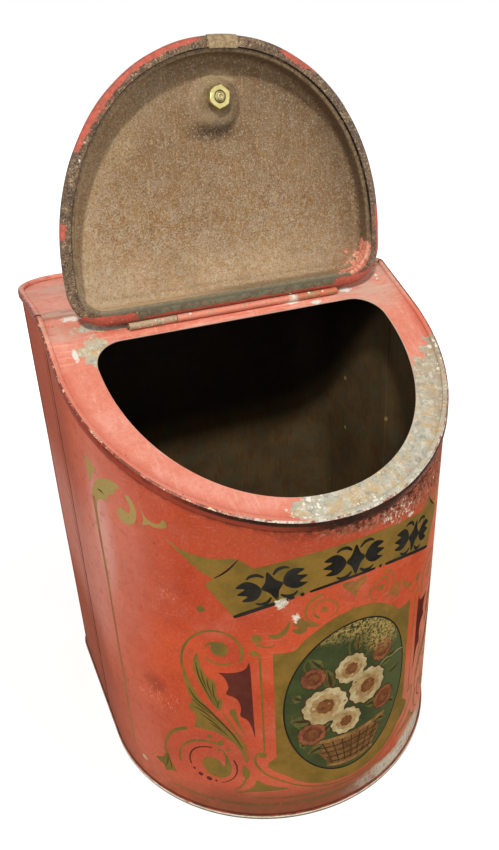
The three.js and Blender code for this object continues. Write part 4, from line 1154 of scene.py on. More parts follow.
# Hinge
def curled(side, tail, length):
    """Strip curled round the wire: its section of (y, z) points, run along X."""
    steps = 30
    turns = [math.pi / 2 + math.radians(295) * i / steps for i in range(steps + 1)]
    outer = [(KNUCKLE_RADIUS * math.cos(a), KNUCKLE_RADIUS * math.sin(a)) for a in turns]
    inner = [(WIRE_CLEAR * math.cos(a), WIRE_CLEAR * math.sin(a)) for a in reversed(turns)]
    section = [(y, side * z) for y, z in outer + inner + tail]
    verts, faces = [], []
    count = max(4, round(length / 4))
    for i in range(count + 1):
        x = -length / 2 + length * i / count
        verts += [(x, y, z) for y, z in section]
    n = len(section)
    for i in range(count):
        for j in range(n):
            k = (j + 1) % n
            faces.append((i * n + j, i * n + k, (i + 1) * n + k, (i + 1) * n + j))
    faces += [tuple(range(n)), tuple(count * n + j for j in range(n))]
    return verts, faces


leaf_length = HINGE_LENGTH - 2 * (STRAP_WIDTH + KNUCKLE_GAP)
leaf_verts, leaf_faces = curled(-1, [(14.0, WIRE_CLEAR), (14.0, KNUCKLE_RADIUS)], leaf_length)
piece(
    "hinge_leaf_fine", leaf_verts, leaf_faces, "bin", [LEAF], place=WIRE_PLACE,
    covers=["hinge_leaf"],
)

tilt = SLOPE + LID_LEAN
heel = (WIRE_ABOVE_SLOPE - GAP + WIRE_CLEAR * math.cos(tilt)) / math.sin(tilt)
wall_u = 2.8 + RIM_WIDTH - GAP
strap_tail = [
    (heel, WIRE_CLEAR), (heel, wall_u), (1.2, wall_u), (1.2, wall_u - 0.8), (heel - 0.8, wall_u - 0.8),
    (heel - 0.8, KNUCKLE_RADIUS),
]
for side, node, look in ((-1, "hinge_strap_left", STRAP_LEFT), (1, "hinge_strap_right", STRAP_RIGHT)):
    strap_verts, strap_faces = curled(1, strap_tail, STRAP_WIDTH)
    shift = Matrix.Translation((side * (HINGE_LENGTH - STRAP_WIDTH) / 2, 0, 0))
    strap_place = LID_PLACE @ (shift @ Matrix.Rotation(math.pi / 2, 4, "X"))
    piece(node + "_fine", strap_verts, strap_faces, "lid", [look], place=strap_place, covers=[node])


# Lid
lid_ring = outline(**LID_OUTLINE)


def dimple_drop(x, u):
    d = math.dist((x, u), (0, DIMPLE_U))
    if d >= DIMPLE_RADIUS:
        return 0.0
    if d <= DIMPLE_FLAT:
        return DIMPLE_DEPTH
    share = (DIMPLE_RADIUS - d) / (DIMPLE_RADIUS - DIMPLE_FLAT)
    return DIMPLE_DEPTH * (1 - math.cos(math.pi * share)) / 2


def pan_wave(x, u):
    centre = math.dist((x, u), (0, KNOB_U))
    calm = max(0.0, min(1.0, (centre - 8) / 14))
    return calm * (0.28 * wave(x, u, 42, 42, 9.0) + 0.05 * wave(x, u, 13, 13, 2.0))


# Sections of the pan's flange, wall and cove, as (distance out from the rim, height)
cove_r = -RIM_WIDTH - PAN_COVE
cove_w = PAN_TOP - PAN_COVE
cove_inside = PAN_COVE - SHEET
outer_profile = [(-1.1, 0.4), (-7.0, 0.4), (-7.9, 0.6), (-RIM_WIDTH, 1.2)]
outer_profile += [(-RIM_WIDTH, 1.2 + 7.0 * i / 4) for i in range(1, 4)]
outer_profile += arc_points(cove_r, cove_w, PAN_COVE, PAN_COVE, 0, math.pi / 2, 10)
inner_profile = [(-1.1, -0.4), (-5.2, -0.4), (-6.8, -0.4), (-7.9, -0.4), (-8.7, -0.2), (-9.0, 0.4)]
inner_profile += [(-9.0, 0.4 + 7.8 * i / 4) for i in range(1, 4)]
inner_profile += arc_points(cove_r, cove_w, cove_inside, cove_inside, 0, math.pi / 2, 10)
strip = list(reversed(outer_profile)) + inner_profile
pan_verts = [(x + r * nx, y + r * ny, w) for x, y, nx, ny in lid_ring for r, w in strip]
pan_faces = grid_faces(len(lid_ring), len(strip), wrap=True)
outer_count = len(outer_profile) - 1
strip_looks = [0] * outer_count + [1] * (len(strip) - 1 - outer_count)
strip_looks[outer_count + 2] = 2
pan_sides = strip_looks * len(lid_ring)
floor_loop = [(x + cove_r * nx, y + cove_r * ny) for x, y, nx, ny in lid_ring]
hole = circle(0, -KNOB_U, BORE_RADIUS, 15)
dimple_rings = (10.5, DIMPLE_FLAT, 12.6, 13.8, 15, 16.2, 17.4, DIMPLE_RADIUS, 19.6)
rings = [p for radius in dimple_rings for p in circle(0, -DIMPLE_U, radius, 9)]
floor_plan, floor_faces = filled([floor_loop, hole], 4.0, rings)


def floor_points(level):
    points = []
    for p in floor_plan:
        rim = min(math.dist(p, q) for q in floor_loop[::2])
        fade = max(0.0, min(1.0, (rim - 1.5) / 10))
        points.append(Vector((p[0], p[1], level - dimple_drop(p[0], -p[1]) - fade * pan_wave(p[0], -p[1]))))
    return points


floor_verts, floor_faces_all, floor_sides = thick(
    floor_points(PAN_TOP), floor_points(PAN_TOP - SHEET), floor_faces,
)


def plan_key(p):
    return round(p[0], 3), round(p[1], 3)


# The strip already closes the floor's rim, so the rim's own upright faces are left out
rim_keys = {plan_key(p) for p in floor_loop}
on_rim = [plan_key(p) in rim_keys for p in floor_plan]
n = len(floor_plan)
kept = []
for face, look_index in zip(floor_faces_all, floor_sides):
    if len(face) != 4 or not all(on_rim[i % n] for i in face):
        kept.append((face, look_index))
extend(
    pan_verts, pan_faces, pan_sides, floor_verts, [face for face, _ in kept],
    [look_index for _, look_index in kept],
)
piece(
    "lid_pan", pan_verts, pan_faces, "lid", [LID_OUTSIDE, LID_INSIDE, LID_CREVICE], pan_sides,
    LID_PLACE, 50, ["lid_panel"],
)


def band_section(raise_by, inner_by, start_deg, end_deg, steps=14):
    a, b = math.radians(start_deg), math.radians(end_deg)
    out = arc_points(-BAND_WIDTH, 0, BAND_WIDTH + raise_by, BAND_HALF + raise_by, a, b, steps)
    back = arc_points(-BAND_WIDTH, 0, BAND_WIDTH + inner_by, BAND_HALF + inner_by, b, a, steps)
    return out + back


band_verts, band_faces = sweep(lid_ring, band_section(0, -SHEET, -97, 97))
lap_ring = [p for p in outline(**LID_OUTLINE, bow=240) if abs(p[0] - LAP_X) < LAP_HALF and p[1] < -100]
lap_verts, lap_faces = sweep(lap_ring, band_section(0.46, -0.3, -104, 104), closed=False)
verts, faces = joined((wobbled(band_verts, 0.22, 20.0, 3.0), band_faces), (lap_verts, lap_faces))
piece(
    "lid_binding", verts, faces, "lid", [LID_BAND], place=LID_PLACE,
    covers=["lid_rim_band"],
)


# Knob, stud and nut
KNOB_PLACE = LID_PLACE @ Matrix.Translation((0, -KNOB_U, 0))
head = arc_points(0, 17.5, 11.0, 7.5, -math.acos(4.6 / 11.0), math.pi / 2, 24)
head[-1] = (0.0, head[-1][1])
knob_profile = [
    (0, 9), (BORE_RADIUS, 9), (BORE_RADIUS, 0), (7.2, 0), (7.5, 0.3), (7.5, 1.5), (7.2, 2.0), (6.2, 2.3),
    (5.2, 3.0), (4.7, 4.0), (4.5, 6.0), (4.5, 8.5),
]
verts, faces = lathe(knob_profile + head)
knob_place = KNOB_PLACE @ Matrix.Translation((0, 0, KNOB_SEAT))
piece("knob_turned", verts, faces, "lid", [BRASS_KNOB], place=knob_place, covers=["lid_knob"])

lowest = NUT_BOTTOM - 1.6
stud_profile = [
    (0, lowest + 0.9), (0.8, lowest + 0.8), (1.1, lowest + 0.2), (1.4, lowest),
    (1.9, lowest + 0.1), (2.3, lowest + 0.5), (2.45, lowest + 1.1),
]
z = lowest + 1.6
while z < KNOB_SEAT + 8.0:
    stud_profile += [(STUD_RADIUS, z), (STUD_RADIUS - 0.32, z + 0.5)]
    z += 1.0
stud_profile += [(STUD_RADIUS, KNOB_SEAT + 8.7), (0, KNOB_SEAT + 8.7)]
verts, faces = lathe(stud_profile, 40)
piece(
    "stud_threaded", verts, faces, "lid", [STUD_IRON], place=KNOB_PLACE, sharp=70,
    covers=["knob_stud"],
)


def nut():
    """Hexagonal nut with chamfered corners, bored along Z."""
    flat = NUT_FLATS / 2
    steps = 96
    edge = 0.35
    levels = [(0.0, 0.5), (0.12, 0.0), (0.86, 0.0), (1.0, edge)]
    profile = levels + [(1.0, NUT_THICKNESS / 2)]
    profile += [(share, NUT_THICKNESS - z) for share, z in reversed(levels)]
    verts, faces = [], []
    for i in range(steps):
        a = 2 * math.pi * i / steps
        rho = flat / math.cos((a % (math.pi / 3)) - math.pi / 6)
        for share, z in profile:
            r = BORE_RADIUS + (rho - BORE_RADIUS) * share
            if share == 1.0 and 0 < z < NUT_THICKNESS:
                chamfer = max(0.0, (rho - flat) * 0.62)
                z = min(max(z, edge + chamfer), NUT_THICKNESS - edge - chamfer)
            verts.append((r * math.cos(a), r * math.sin(a), z))
    n = len(profile)
    for i in range(steps):
        for j in range(n):
            k = (j + 1) % n
            b = (i + 1) % steps
            faces.append((i * n + j, b * n + j, b * n + k, i * n + k))
    return verts, faces


verts, faces = nut()
nut_place = KNOB_PLACE @ Matrix.Translation((0, 0, NUT_BOTTOM)) @ Matrix.Rotation(math.radians(38), 4, "Z")
piece(
    "nut_brass", verts, faces, "lid", [BRASS_NUT], place=nut_place, sharp=26,
    covers=["knob_nut"],
)

for node, look in (("bottom_panel", FLOOR_TIN), ("hinge_wire", WIRE)):
    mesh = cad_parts[node].data
    mesh.materials.clear()
    mesh.materials.append(look)


# Stencilled ornament on the front, drawn in unrolled (s, z) millimetres
MIDDLE_S = 3.0
FILL = 3.6


def smoothed(points, closed=True, steps=6):
    count = len(points)
    result = []
    for i in range(count if closed else count - 1):
        def at(k):
            return Vector(points[k % count]) if closed else Vector(points[min(max(k, 0), count - 1)])
        p0, p1, p2, p3 = at(i - 1), at(i), at(i + 1), at(i + 2)
        for j in range(steps):
            t = j / steps
            straight = 2 * p1 + (p2 - p0) * t
            bend = (2 * p0 - 5 * p1 + 4 * p2 - p3) * t**2
            twist = (3 * p1 - p0 - 3 * p2 + p3) * t**3
            result.append(0.5 * (straight + bend + twist))
    if not closed:
        result.append(Vector(points[-1]))
    return result


def resampled(loop, step=1.6):
    result = []
    count = len(loop)
    for i in range(count):
        a, b = Vector(loop[i]), Vector(loop[(i + 1) % count])
        parts = max(1, round((b - a).length / step))
        result += [a.lerp(b, j / parts) for j in range(parts)]
    return result


def blob(points):
    return filled([resampled(smoothed([p[:2] for p in points]))], FILL)


def stroke(points):
    """Line of varying width through (s, z, width) points."""
    line = smoothed(points, False, 7)
    verts, faces = [], []
    for i, p in enumerate(line):
        a = line[max(0, i - 1)]
        b = line[min(len(line) - 1, i + 1)]
        along = Vector((b.x - a.x, b.y - a.y)).normalized()
        side = Vector((-along.y, along.x)) * max(p.z, 0.12) / 2
        verts += [Vector((p.x, p.y)) + side, Vector((p.x, p.y)) - side]
    for i in range(len(line) - 1):
        faces.append((2 * i, 2 * i + 1, 2 * i + 3, 2 * i + 2))
    return verts, faces


def round_line(cs, cz, radius, start, end, width, end_width=None):
    end_width = width if end_width is None else end_width
    count = max(4, int(abs(end - start) / 14))
    points = []
    for i in range(count + 1):
        t = i / count
        a = math.radians(start + (end - start) * t)
        points.append((cs + radius * math.cos(a), cz + radius * math.sin(a), width + (end_width - width) * t))
    return stroke(points)


def disc(cs, cz, radius, flat=1.0):
    return filled([circle(cs, cz, radius, 15, flat)], max(1.2, min(FILL, radius * 0.8)))


def mirrored(shape):
    verts, faces = shape
    return [Vector((2 * MIDDLE_S - v[0], v[1])) for v in verts], [tuple(reversed(f)) for f in faces]


def both(shapes):
    return shapes + [mirrored(shape) for shape in shapes]


def lay(name, shapes, lift, look):
    verts, faces = joined(*shapes)
    placed = [wall_point(v[0], v[1], lift) for v in verts]
    piece(name, placed, faces, "bin", [look])


gilt = [
    # corner leaf, comma and bud
    blob([
        (-166.4, 234), (-164.6, 241), (-160, 248), (-154, 252), (-146, 254.6), (-139, 254), (-136.6, 251.4),
        (-140.5, 250), (-142.6, 246), (-147, 244.4), (-149.6, 239), (-156, 237.6), (-160.5, 234.6),
        (-163.2, 229),
    ]),
    blob([
        (-168, 262.5), (-163, 261), (-161, 258), (-156.5, 257), (-161, 253.5), (-164, 248), (-166.8, 245),
        (-167.4, 253),
    ]),
    blob([
        (-130.8, 249), (-127.6, 245.5), (-126, 240), (-126.6, 234.5), (-129.5, 230.5), (-134, 228.4),
        (-138.6, 229.2), (-141.2, 232.4), (-141, 236.6), (-138, 239), (-135, 237.6), (-132, 236.6),
        (-130.2, 239.5), (-130.6, 243.6), (-133, 247.6),
    ]),
    blob([
        (-122.6, 245.4), (-120.6, 239.6), (-117.6, 236.6), (-114, 235.4), (-110.4, 236.2), (-108.4, 238.8),
        (-106.2, 237.8), (-106, 234.8), (-109, 233.2), (-114, 232.8), (-118, 233.6), (-122.4, 232.2),
        (-121, 236.6),
    ]),
    # scroll that opens the C, with its ball and hook
    stroke([
        (-69.4, 141, 0.5), (-67.4, 146, 1.6), (-66.8, 151, 2.2), (-68, 156, 1.6), (-72, 161.6, 1.6),
        (-80, 165.4, 1.4), (-89, 164, 1.6), (-97, 158.4, 1.6), (-103, 149.6, 1.7), (-105.8, 140, 1.8),
        (-106, 131, 1.9),
    ]),
    round_line(-80.5, 152, 12.6, 222, 306, 1.5, 1.1),
    disc(-80.6, 151.6, 5.4, 1.08),
    stroke([(-81, 155, 3.4), (-85, 155.4, 2.4), (-88.4, 153.4, 1.0), (-88.6, 151, 0.3)]),
    # inner and outer leaves of the C
    blob([
        (-95, 146), (-97.6, 141), (-98.6, 133), (-97, 125), (-94, 117.5), (-90, 109), (-86, 102.6),
        (-83.4, 100), (-82, 103.6), (-81.4, 109.6), (-84, 112), (-84.4, 117), (-84.6, 123), (-88, 126.4),
        (-90.6, 128.4), (-93, 135), (-94.4, 142),
    ]),
    blob([
        (-105.8, 133), (-106.4, 127), (-105.4, 119), (-104, 112), (-102, 104.6), (-104.8, 97.6),
        (-101.4, 94), (-100, 88), (-101.6, 81), (-94, 80.6), (-87, 80), (-80, 76), (-74.6, 71), (-70.6, 63),
        (-68.4, 54.6), (-67, 57), (-67.6, 64), (-70.6, 73), (-76, 82), (-82, 90), (-88, 97.6),
        (-93.6, 104.6), (-98, 112), (-101.8, 121), (-104.4, 130),
    ]),
    blob([
        (-75, 103.4), (-77, 101), (-76.4, 97), (-73.6, 91), (-70, 84), (-67.6, 79), (-69.6, 86),
        (-71.6, 92.6), (-72.8, 99), (-73.2, 102.4),
    ]),
    stroke([(-81.6, 98.6, 0.6), (-78, 91, 1.3), (-73, 81, 1.4), (-69, 72, 1.2), (-66.6, 66, 0.5)]),
    # rosette scroll at the foot of the C
    disc(-91.6, 48, 7.4),
    blob([
        (-97, 42), (-92, 37.6), (-85, 37.4), (-80.2, 41.2), (-78.6, 47), (-79, 53), (-80.8, 59),
        (-84, 65.4), (-82.6, 58), (-82.6, 52), (-84.4, 47.6), (-88, 45), (-92, 44),
    ]),
    round_line(-92, 46, 24, 190, 72, 1.2, 2.2),
    round_line(-92, 45, 36, 182, 116, 1.4, 2.8),
    blob([(-70.6, 52), (-67.4, 49), (-66.4, 44), (-68.4, 39), (-71, 41.6), (-71.6, 47)]),
    stroke([(-69.4, 40, 0.6), (-70.6, 35, 1.8), (-74, 30, 1.2), (-78, 27, 0.4)]),
    disc(-92, 75, 1.7), disc(-84.4, 71, 2.4), disc(-80, 65.4, 1.5), disc(-86, 64, 1.3),
    blob([
        (-126.6, 46), (-131, 37.4), (-138.4, 32), (-132, 29), (-130, 24.6), (-125, 27), (-120.6, 28.6),
        (-124, 36),
    ]),
    blob([
        (-62, 38), (-57, 34.4), (-50, 31.6), (-41, 28.4), (-55, 27.4), (-68, 26), (-77, 23.6), (-68, 29),
        (-64, 33),
    ]),
    # lines and curls beside the oval's panel
    stroke([
        (-60, 150.4, 3.4), (-58.2, 149.8, 2.0), (-56.8, 146, 1.4), (-56.4, 130, 1.3), (-56.2, 100, 1.3),
        (-56.2, 66, 1.1),
    ]),
    disc(-60, 149.6, 2.3),
    disc(-57.4, 62.4, 2.6),
    stroke([
        (-58.6, 65, 1.0), (-61.8, 62, 1.6), (-62.4, 56, 1.7), (-59.6, 49, 1.7), (-54, 42.4, 1.6),
        (-46, 37, 1.5), (-36, 31, 1.4), (-24, 26, 1.3), (-10, 22.6, 1.2), (3, 21.8, 1.1),
    ]),
    disc(-58, 161, 3.1),
    stroke([(-58, 157, 2.0), (-54.6, 154.8, 1.4), (-50, 154.2, 1.2), (-47, 156, 0.5)]),
    blob([
        (-50.6, 163.4), (-45, 164), (-40.6, 168.6), (-38, 173), (-38.4, 168), (-41, 163), (-45.6, 160.6),
        (-49, 161),
    ]),
    blob([(-36, 170), (-31, 173.4), (-27.6, 167), (-29, 162.6), (-33.4, 162), (-37, 165.6), (-33, 166.6)]),
    disc(-90, 181, 2.5),
    # scrolls under the ribbon
    disc(-17, 176.6, 2.4),
    round_line(-17, 177, 6.6, 240, 20, 1.4, 2.0),
    round_line(-17, 176.5, 11.6, 222, 96, 1.0, 2.4),
    blob([(-31, 168.6), (-25, 165.6), (-19.6, 165.4), (-23, 168.4), (-27.4, 171.4)]),
    stroke([(-9.8, 180, 2.0), (-8, 176, 1.6), (-10, 171.4, 1.0), (-14, 169.6, 0.4)]),
    blob([(-5, 191.4), (3, 190), (3, 180), (0.6, 182.6), (-3.4, 186.6)]),
]
panel_side = [(-48.7, 148.6), (-36, 149.4), (-30, 155.6), (-20, 163.2), (-10, 168.4), (3, 171)]
panel_foot = [(-48.6, 60), (-54.6, 53), (-50, 46.6), (-42, 41), (-34, 34), (-22, 28.4), (-8, 25.4), (3, 24.4)]


def panel_loop():
    top = smoothed(panel_side, False, 5)
    foot = smoothed(panel_foot, False, 5)
    left = [Vector(p) for p in reversed(top)] + foot
    right = [Vector((2 * MIDDLE_S - p.x, p.y)) for p in reversed(left[1:-1])]
    return resampled(left + right)


def ribbon_top(s):
    return 220 - 0.0022 * (s - MIDDLE_S) ** 2


def ribbon_foot(s):
    return 194.3 - 0.0032 * (s - MIDDLE_S) ** 2


def ribbon_loop():
    left = [
        (-57.5, 211.8), (-61, 215), (-66, 218.6), (-73, 212), (-81, 204.4), (-86.2, 199.6), (-81, 192),
        (-75.6, 185), (-70.4, 177.2),
    ]
    foot = [(s, ribbon_foot(s)) for s in range(-64, 68, 6)] + [(76.4, 177.2)]
    right = [(2 * MIDDLE_S - s, z) for s, z in reversed(left[:-1])]
    top = [(s, ribbon_top(s)) for s in range(57, -56, -6)]
    return resampled([Vector(p) for p in left + foot + right + top])


ribbon_tail = [
    (-108.4, 227.4), (-100, 222), (-91, 219.4), (-80, 217.8), (-67.4, 218.8), (-72, 213.4), (-80.6, 205.2),
    (-85, 206.4), (-91, 211), (-98, 217.6),
]
GILT_LOOK = decal_look("stencil_gilt", (138, 108, 50), (108, 96, 50), 0.1, 0.64, 5.0, True)
GILT_GROUND = decal_look("gilt_ground", (140, 108, 50), (112, 92, 42), 0.1, 0.7, 8.0)
lay("stencil_scrolls", both(gilt), 0.05, GILT_LOOK)
lay("gilt_panel", [filled([panel_loop()], FILL)], 0.05, GILT_GROUND)
tails = [filled([resampled(smoothed(ribbon_tail, True, 3))], FILL)]
lay("ribbon_tails", both(tails), 0.05, GILT_LOOK)
lay("ribbon", [filled([ribbon_loop()], FILL)], 0.09, GILT_GROUND)
faint_lines = [
    stroke([(-124, 14, 1.6), (-80, 13.6, 3.2), (-30, 13.4, 3.6), (3, 13.4, 3.6)]),
    stroke([(-66, 20.6, 0.6), (-40, 19.6, 1.8), (-14, 19, 2.0), (3, 18.8, 2.0)]),
]
FAINT_LOOK = decal_look("stencil_faint", (146, 112, 62), (152, 86, 56), 0.0, 0.53, 7.0)
lay("faint_lines", both(faint_lines), 0.05, FAINT_LOOK)

side_lines = [stroke([
    (-164.8, 236, 3.2), (-164.3, 184, 2.6), (-163.8, 126, 2.4), (-163.4, 66, 2.4), (-163, 26, 2.0),
])]
SIDE_LOOK = decal_look("stencil_side_line", (158, 124, 76), (166, 104, 72), 0.0, 0.56, 7.0)
lay("side_lines", both(side_lines), 0.05, SIDE_LOOK)

# dark veins of the leaves
veins = [
    stroke([(-96.6, 138, 0.4), (-95.4, 128, 1.1), (-92.6, 119, 1.0), (-88, 108, 0.4)]),
    stroke([(-93.6, 132, 0.3), (-92.6, 125, 0.9), (-90.6, 118, 0.3)]),
    stroke([(-90, 126.6, 0.3), (-89.4, 119, 0.9), (-86.6, 110, 0.3)]),
    stroke([(-86.4, 123, 0.3), (-86.6, 115, 0.8), (-84.6, 106, 0.3)]),
    stroke([(-83, 109.4, 0.3), (-84.2, 105.6, 0.7), (-84.6, 102.4, 0.3)]),
    stroke([
        (-103, 115, 0.4), (-99, 107, 1.2), (-92, 100.6, 1.4), (-84, 91, 1.5), (-76, 80, 1.2),
        (-70.4, 68, 0.4),
    ]),
    stroke([(-101.4, 105.6, 0.4), (-96, 101, 1.0), (-89.6, 96, 0.4)]),
    stroke([(-100.4, 99.6, 0.4), (-94, 96.6, 1.1), (-87, 90.4, 0.4)]),
    stroke([(-97, 94.6, 0.3), (-90, 90, 1.1), (-83, 83.6, 0.4)]),
    stroke([(-91, 88, 0.3), (-85, 84, 1.0), (-79, 78.4, 0.3)]),
    stroke([(-126.6, 43, 0.3), (-127, 36, 0.9), (-129.6, 29, 0.3)]),
    stroke([(-125.6, 40, 0.3), (-124.6, 34, 0.9), (-124.6, 28.6, 0.3)]),
    stroke([(-158.6, 243.4, 0.4), (-155, 243.4, 1.1), (-152, 242, 0.3)]),
]
lay("leaf_veins", both(veins), 0.09, decal_look("vein_olive", OLIVE_DARK, (84, 70, 38), 0.0, 0.66))

maroon = [
    blob([
        (-82, 132.4), (-76, 133), (-69, 134.8), (-65, 137.8), (-63, 142), (-62.4, 134), (-62.2, 116),
        (-62, 98), (-61.8, 79), (-63.4, 87), (-66, 94), (-70.2, 97.4), (-69.6, 104), (-71, 110.4),
        (-74, 113.4), (-78.4, 115.4), (-76.6, 121), (-78, 127), (-80, 130.4),
    ]),
    round_line(-91.4, 48.2, 16.6, 88, 196, 1.0, 1.2),
    round_line(-91.4, 48.2, 16.6, -72, 28, 0.5, 1.3),
    disc(-105.4, 40, 1.1), disc(-101, 36, 1.8), disc(-95, 33.5, 2.0), disc(-90, 33, 0.9),
]
lay("stencil_maroon", both(maroon), 0.06, decal_look("maroon_paint", (104, 52, 42), (84, 42, 36), 0.0, 0.68))


def tilted(points, cs, cz, angle):
    """The points turned by an angle in degrees and moved to a place."""
    c, s = math.cos(math.radians(angle)), math.sin(math.radians(angle))
    return [(cs + (x * c - y * s), cz + (x * s + y * c), *rest) for x, y, *rest in points]


def ribbon_motif(cs):
    """Dark lozenge flower with four curling leaves, set square to the ribbon's curve."""
    cz = (ribbon_top(cs) + ribbon_foot(cs)) / 2 - 1.0
    angle = math.degrees(math.atan(-0.0054 * (cs - MIDDLE_S)))
    lozenge = [(0, 10.4), (3.0, 4.0), (6.4, 0), (3.0, -4.0), (0, -10.4), (-3.0, -4.0), (-6.4, 0), (-3.0, 4.0)]
    shapes = [blob(tilted(lozenge, cs, cz, angle))]
    side_leaf = [(6.4, 0), (9.4, 5.4), (14.4, 7.4), (20.4, 4.4), (15.6, 2.4)]
    side_leaf += [(21.0, -0.4), (15.6, -2.8), (19.6, -5.4), (13.4, -6.8), (9.0, -4.6)]
    for way in (-1, 1):
        shapes.append(blob(tilted([(x * way, y) for x, y in side_leaf], cs, cz, angle)))
        for up in (-1, 1):
            curl = [(2.8, 7.4, 1.2), (6, 10, 2.2), (10, 10.2, 1.9), (12.6, 8.6, 0.8)]
            shapes.append(stroke(tilted([(x * way, y * up, w) for x, y, w in curl], cs, cz, angle)))
    return shapes


black = []
for cs in (-47.5, 3.0, 53.5):
    black += ribbon_motif(cs)
for low, high, wide in ((-70.4, -35, 2.5), (-26, 17.6, 1.9), (25.6, 76.4, 2.3)):
    count = 8
    line = []
    for i in range(count + 1):
        s = low + (high - low) * i / count
        line.append((s, ribbon_foot(s) + 0.3, wide * (0.7 if i in (0, count) else 1.0)))
    black.append(stroke(line))
black += [disc(-30.4, 191, 1.3), disc(21.6, 193.6, 1.1)]
folds = [stroke([(-80, 204.6, 0.5), (-75, 208.2, 1.1), (-70.4, 212.6, 1.1), (-66, 218, 0.5)])]
BLACK_LOOK = decal_look("black_paint", BLACK, (52, 50, 46), 0.0, 0.72, 7.0)
lay("ribbon_ornament", black + both(folds), 0.13, BLACK_LOOK)

# Oval with a flower spray
OVAL_S, OVAL_Z, OVAL_HALF_WIDTH, OVAL_HALF_HEIGHT = 3.3, 97.6, 46.4, 62.4


def oval_loop(grow=0.0, steps=150):
    turns = [2 * math.pi * i / steps for i in range(steps)]
    half_width, half_height = OVAL_HALF_WIDTH + grow, OVAL_HALF_HEIGHT + grow
    loop = [Vector((OVAL_S + half_width * math.cos(a), OVAL_Z + half_height * math.sin(a))) for a in turns]
    return resampled(loop)


def picture_wear(look):
    """Flaking at the top of the oval, fine cracks all over, and the wear of the wall."""
    flaking = look.most(
        look.on_wall(12, 157, (34, 34, 9), 0.5, 0.9, 6.0, 1.0),
        look.on_wall(30, 143, (18, 24, 15), 0.5, 0.9, 6.0, 2.0),
    )
    flake_tone = look.mix(look.noise(3, 4, 0.6), (196, 168, 104), (150, 118, 58))
    look.coat(flake_tone, look.times(flaking, look.cloud(2.0, 0.47, 0.53, 5, 0.8, 4.0)))
    look.coat((150, 140, 104), look.cloud(1.1, 0.62, 0.7, 4, 0.7, 14.0), 0.35)
    worn_wall(look)


def picture_look(name, first, second, size):
    look = Look(name, gloss=0.0)
    look.color = look.mix(look.cloud(size, 0.35, 0.66, 5, 0.65, 6.0), first, second)
    look.coat((58, 52, 34), look.cloud(1.3, 0.5, 0.7, 4, 0.7, 3.0), 0.25)
    picture_wear(look)
    return look.finish(look.uneven(0.3, 0.2, 7, 4, 0.6), look.noise(1.2, 4, 0.7), 0.2, 0.08)


def green_look():
    look = Look("oval_green", gloss=0.0)
    look.color = look.mix(look.cloud(24, 0.35, 0.66, 4, 0.6, 6.0), (72, 80, 46), (56, 64, 40))
    look.coat((92, 98, 64), look.smooth(look.x, 0.004, 0.05), 0.7)
    look.coat((84, 84, 54), look.smooth(look.z, 0.07, 0.04), 0.4)
    picture_wear(look)
    return look.finish(look.uneven(0.28, 0.2, 7, 4, 0.6), look.noise(1.2, 4, 0.7), 0.2, 0.08)


EDGE_LOOK = decal_look("oval_edge_black", BLACK, (48, 44, 36), 0.0, 0.66)
lay("oval_edge", [filled([oval_loop(0.6), oval_loop(-0.5)], 6.0)], 0.12, EDGE_LOOK)
lay("oval_ground", [filled([oval_loop()], FILL)], 0.09, green_look())


PETAL = [
    (0, 0), (0.42, 0.28), (0.56, 0.66), (0.3, 0.95), (0, 0.9), (-0.3, 0.97), (-0.56, 0.66), (-0.42, 0.28),
]
LEAF_FORM = [(0, 0), (0.4, 0.26), (0.5, 0.5), (0.28, 0.8), (0, 1), (-0.28, 0.78), (-0.5, 0.48), (-0.38, 0.22)]


def petal(form, cs, cz, length, width, angle):
    """A form given in shares of a width and a length, at a place and an angle."""
    return blob(tilted([(width * x, length * y) for x, y in form], cs, cz, angle))


SPRAY_LOOKS = (
    ("stem", 0.12, (104, 98, 52), (84, 82, 46), 9.0),
    ("leaf", 0.14, (104, 106, 60), (86, 74, 42), 9.0),
    ("leaf_rib", 0.16, (58, 58, 34), (70, 52, 30), 9.0),
    ("basket", 0.14, (134, 98, 58), (98, 68, 42), 7.0),
    ("basket_weave", 0.16, (66, 46, 30), (82, 56, 36), 9.0),
    ("basket_rim", 0.18, (164, 124, 74), (120, 84, 50), 5.0),
    ("petal_edge", 0.20, (88, 64, 42), (70, 48, 32), 9.0),
    ("outer_cream", 0.22, (200, 184, 140), (164, 138, 94), 9.0),
    ("outer_russet", 0.22, (150, 92, 62), (112, 66, 46), 9.0),
    ("middle_cream", 0.24, (184, 154, 106), (148, 112, 72), 6.0),
    ("middle_russet", 0.24, (122, 70, 48), (98, 54, 40), 6.0),
    ("heart", 0.26, (132, 88, 52), (104, 60, 38), 4.0),
)
spray = {name: [] for name, *_ in SPRAY_LOOKS}


def rose(cs, cz, radius, turn, kind):
    for i in range(6):
        a = turn + 60 * i
        spray["petal_edge"].append(petal(PETAL, cs, cz, radius * 1.05, radius * 1.05, a))
        spray["outer_" + kind].append(petal(PETAL, cs, cz, radius * 0.98, radius * 0.94, a))
    for i in range(5):
        a = turn + 24 + 72 * i
        spray["middle_" + kind].append(petal(PETAL, cs, cz, radius * 0.68, radius * 0.66, a))
    for i in range(4):
        a = turn + 10 + 90 * i
        spray["heart"].append(petal(PETAL, cs, cz, radius * 0.4, radius * 0.42, a))


def reach_inside(cs, cz, length, angle):
    """Share of a leaf's length that keeps its tip inside the oval."""
    a = math.radians(angle)
    for share in (1.0, 0.9, 0.8, 0.7, 0.6, 0.5, 0.4):
        tip_s = cs - share * length * math.sin(a)
        tip_z = cz + share * length * math.cos(a)
        across, along = (tip_s - OVAL_S) / (OVAL_HALF_WIDTH - 3), (tip_z - OVAL_Z) / (OVAL_HALF_HEIGHT - 3)
        if math.hypot(across, along) < 1:
            return share
    return 0.3


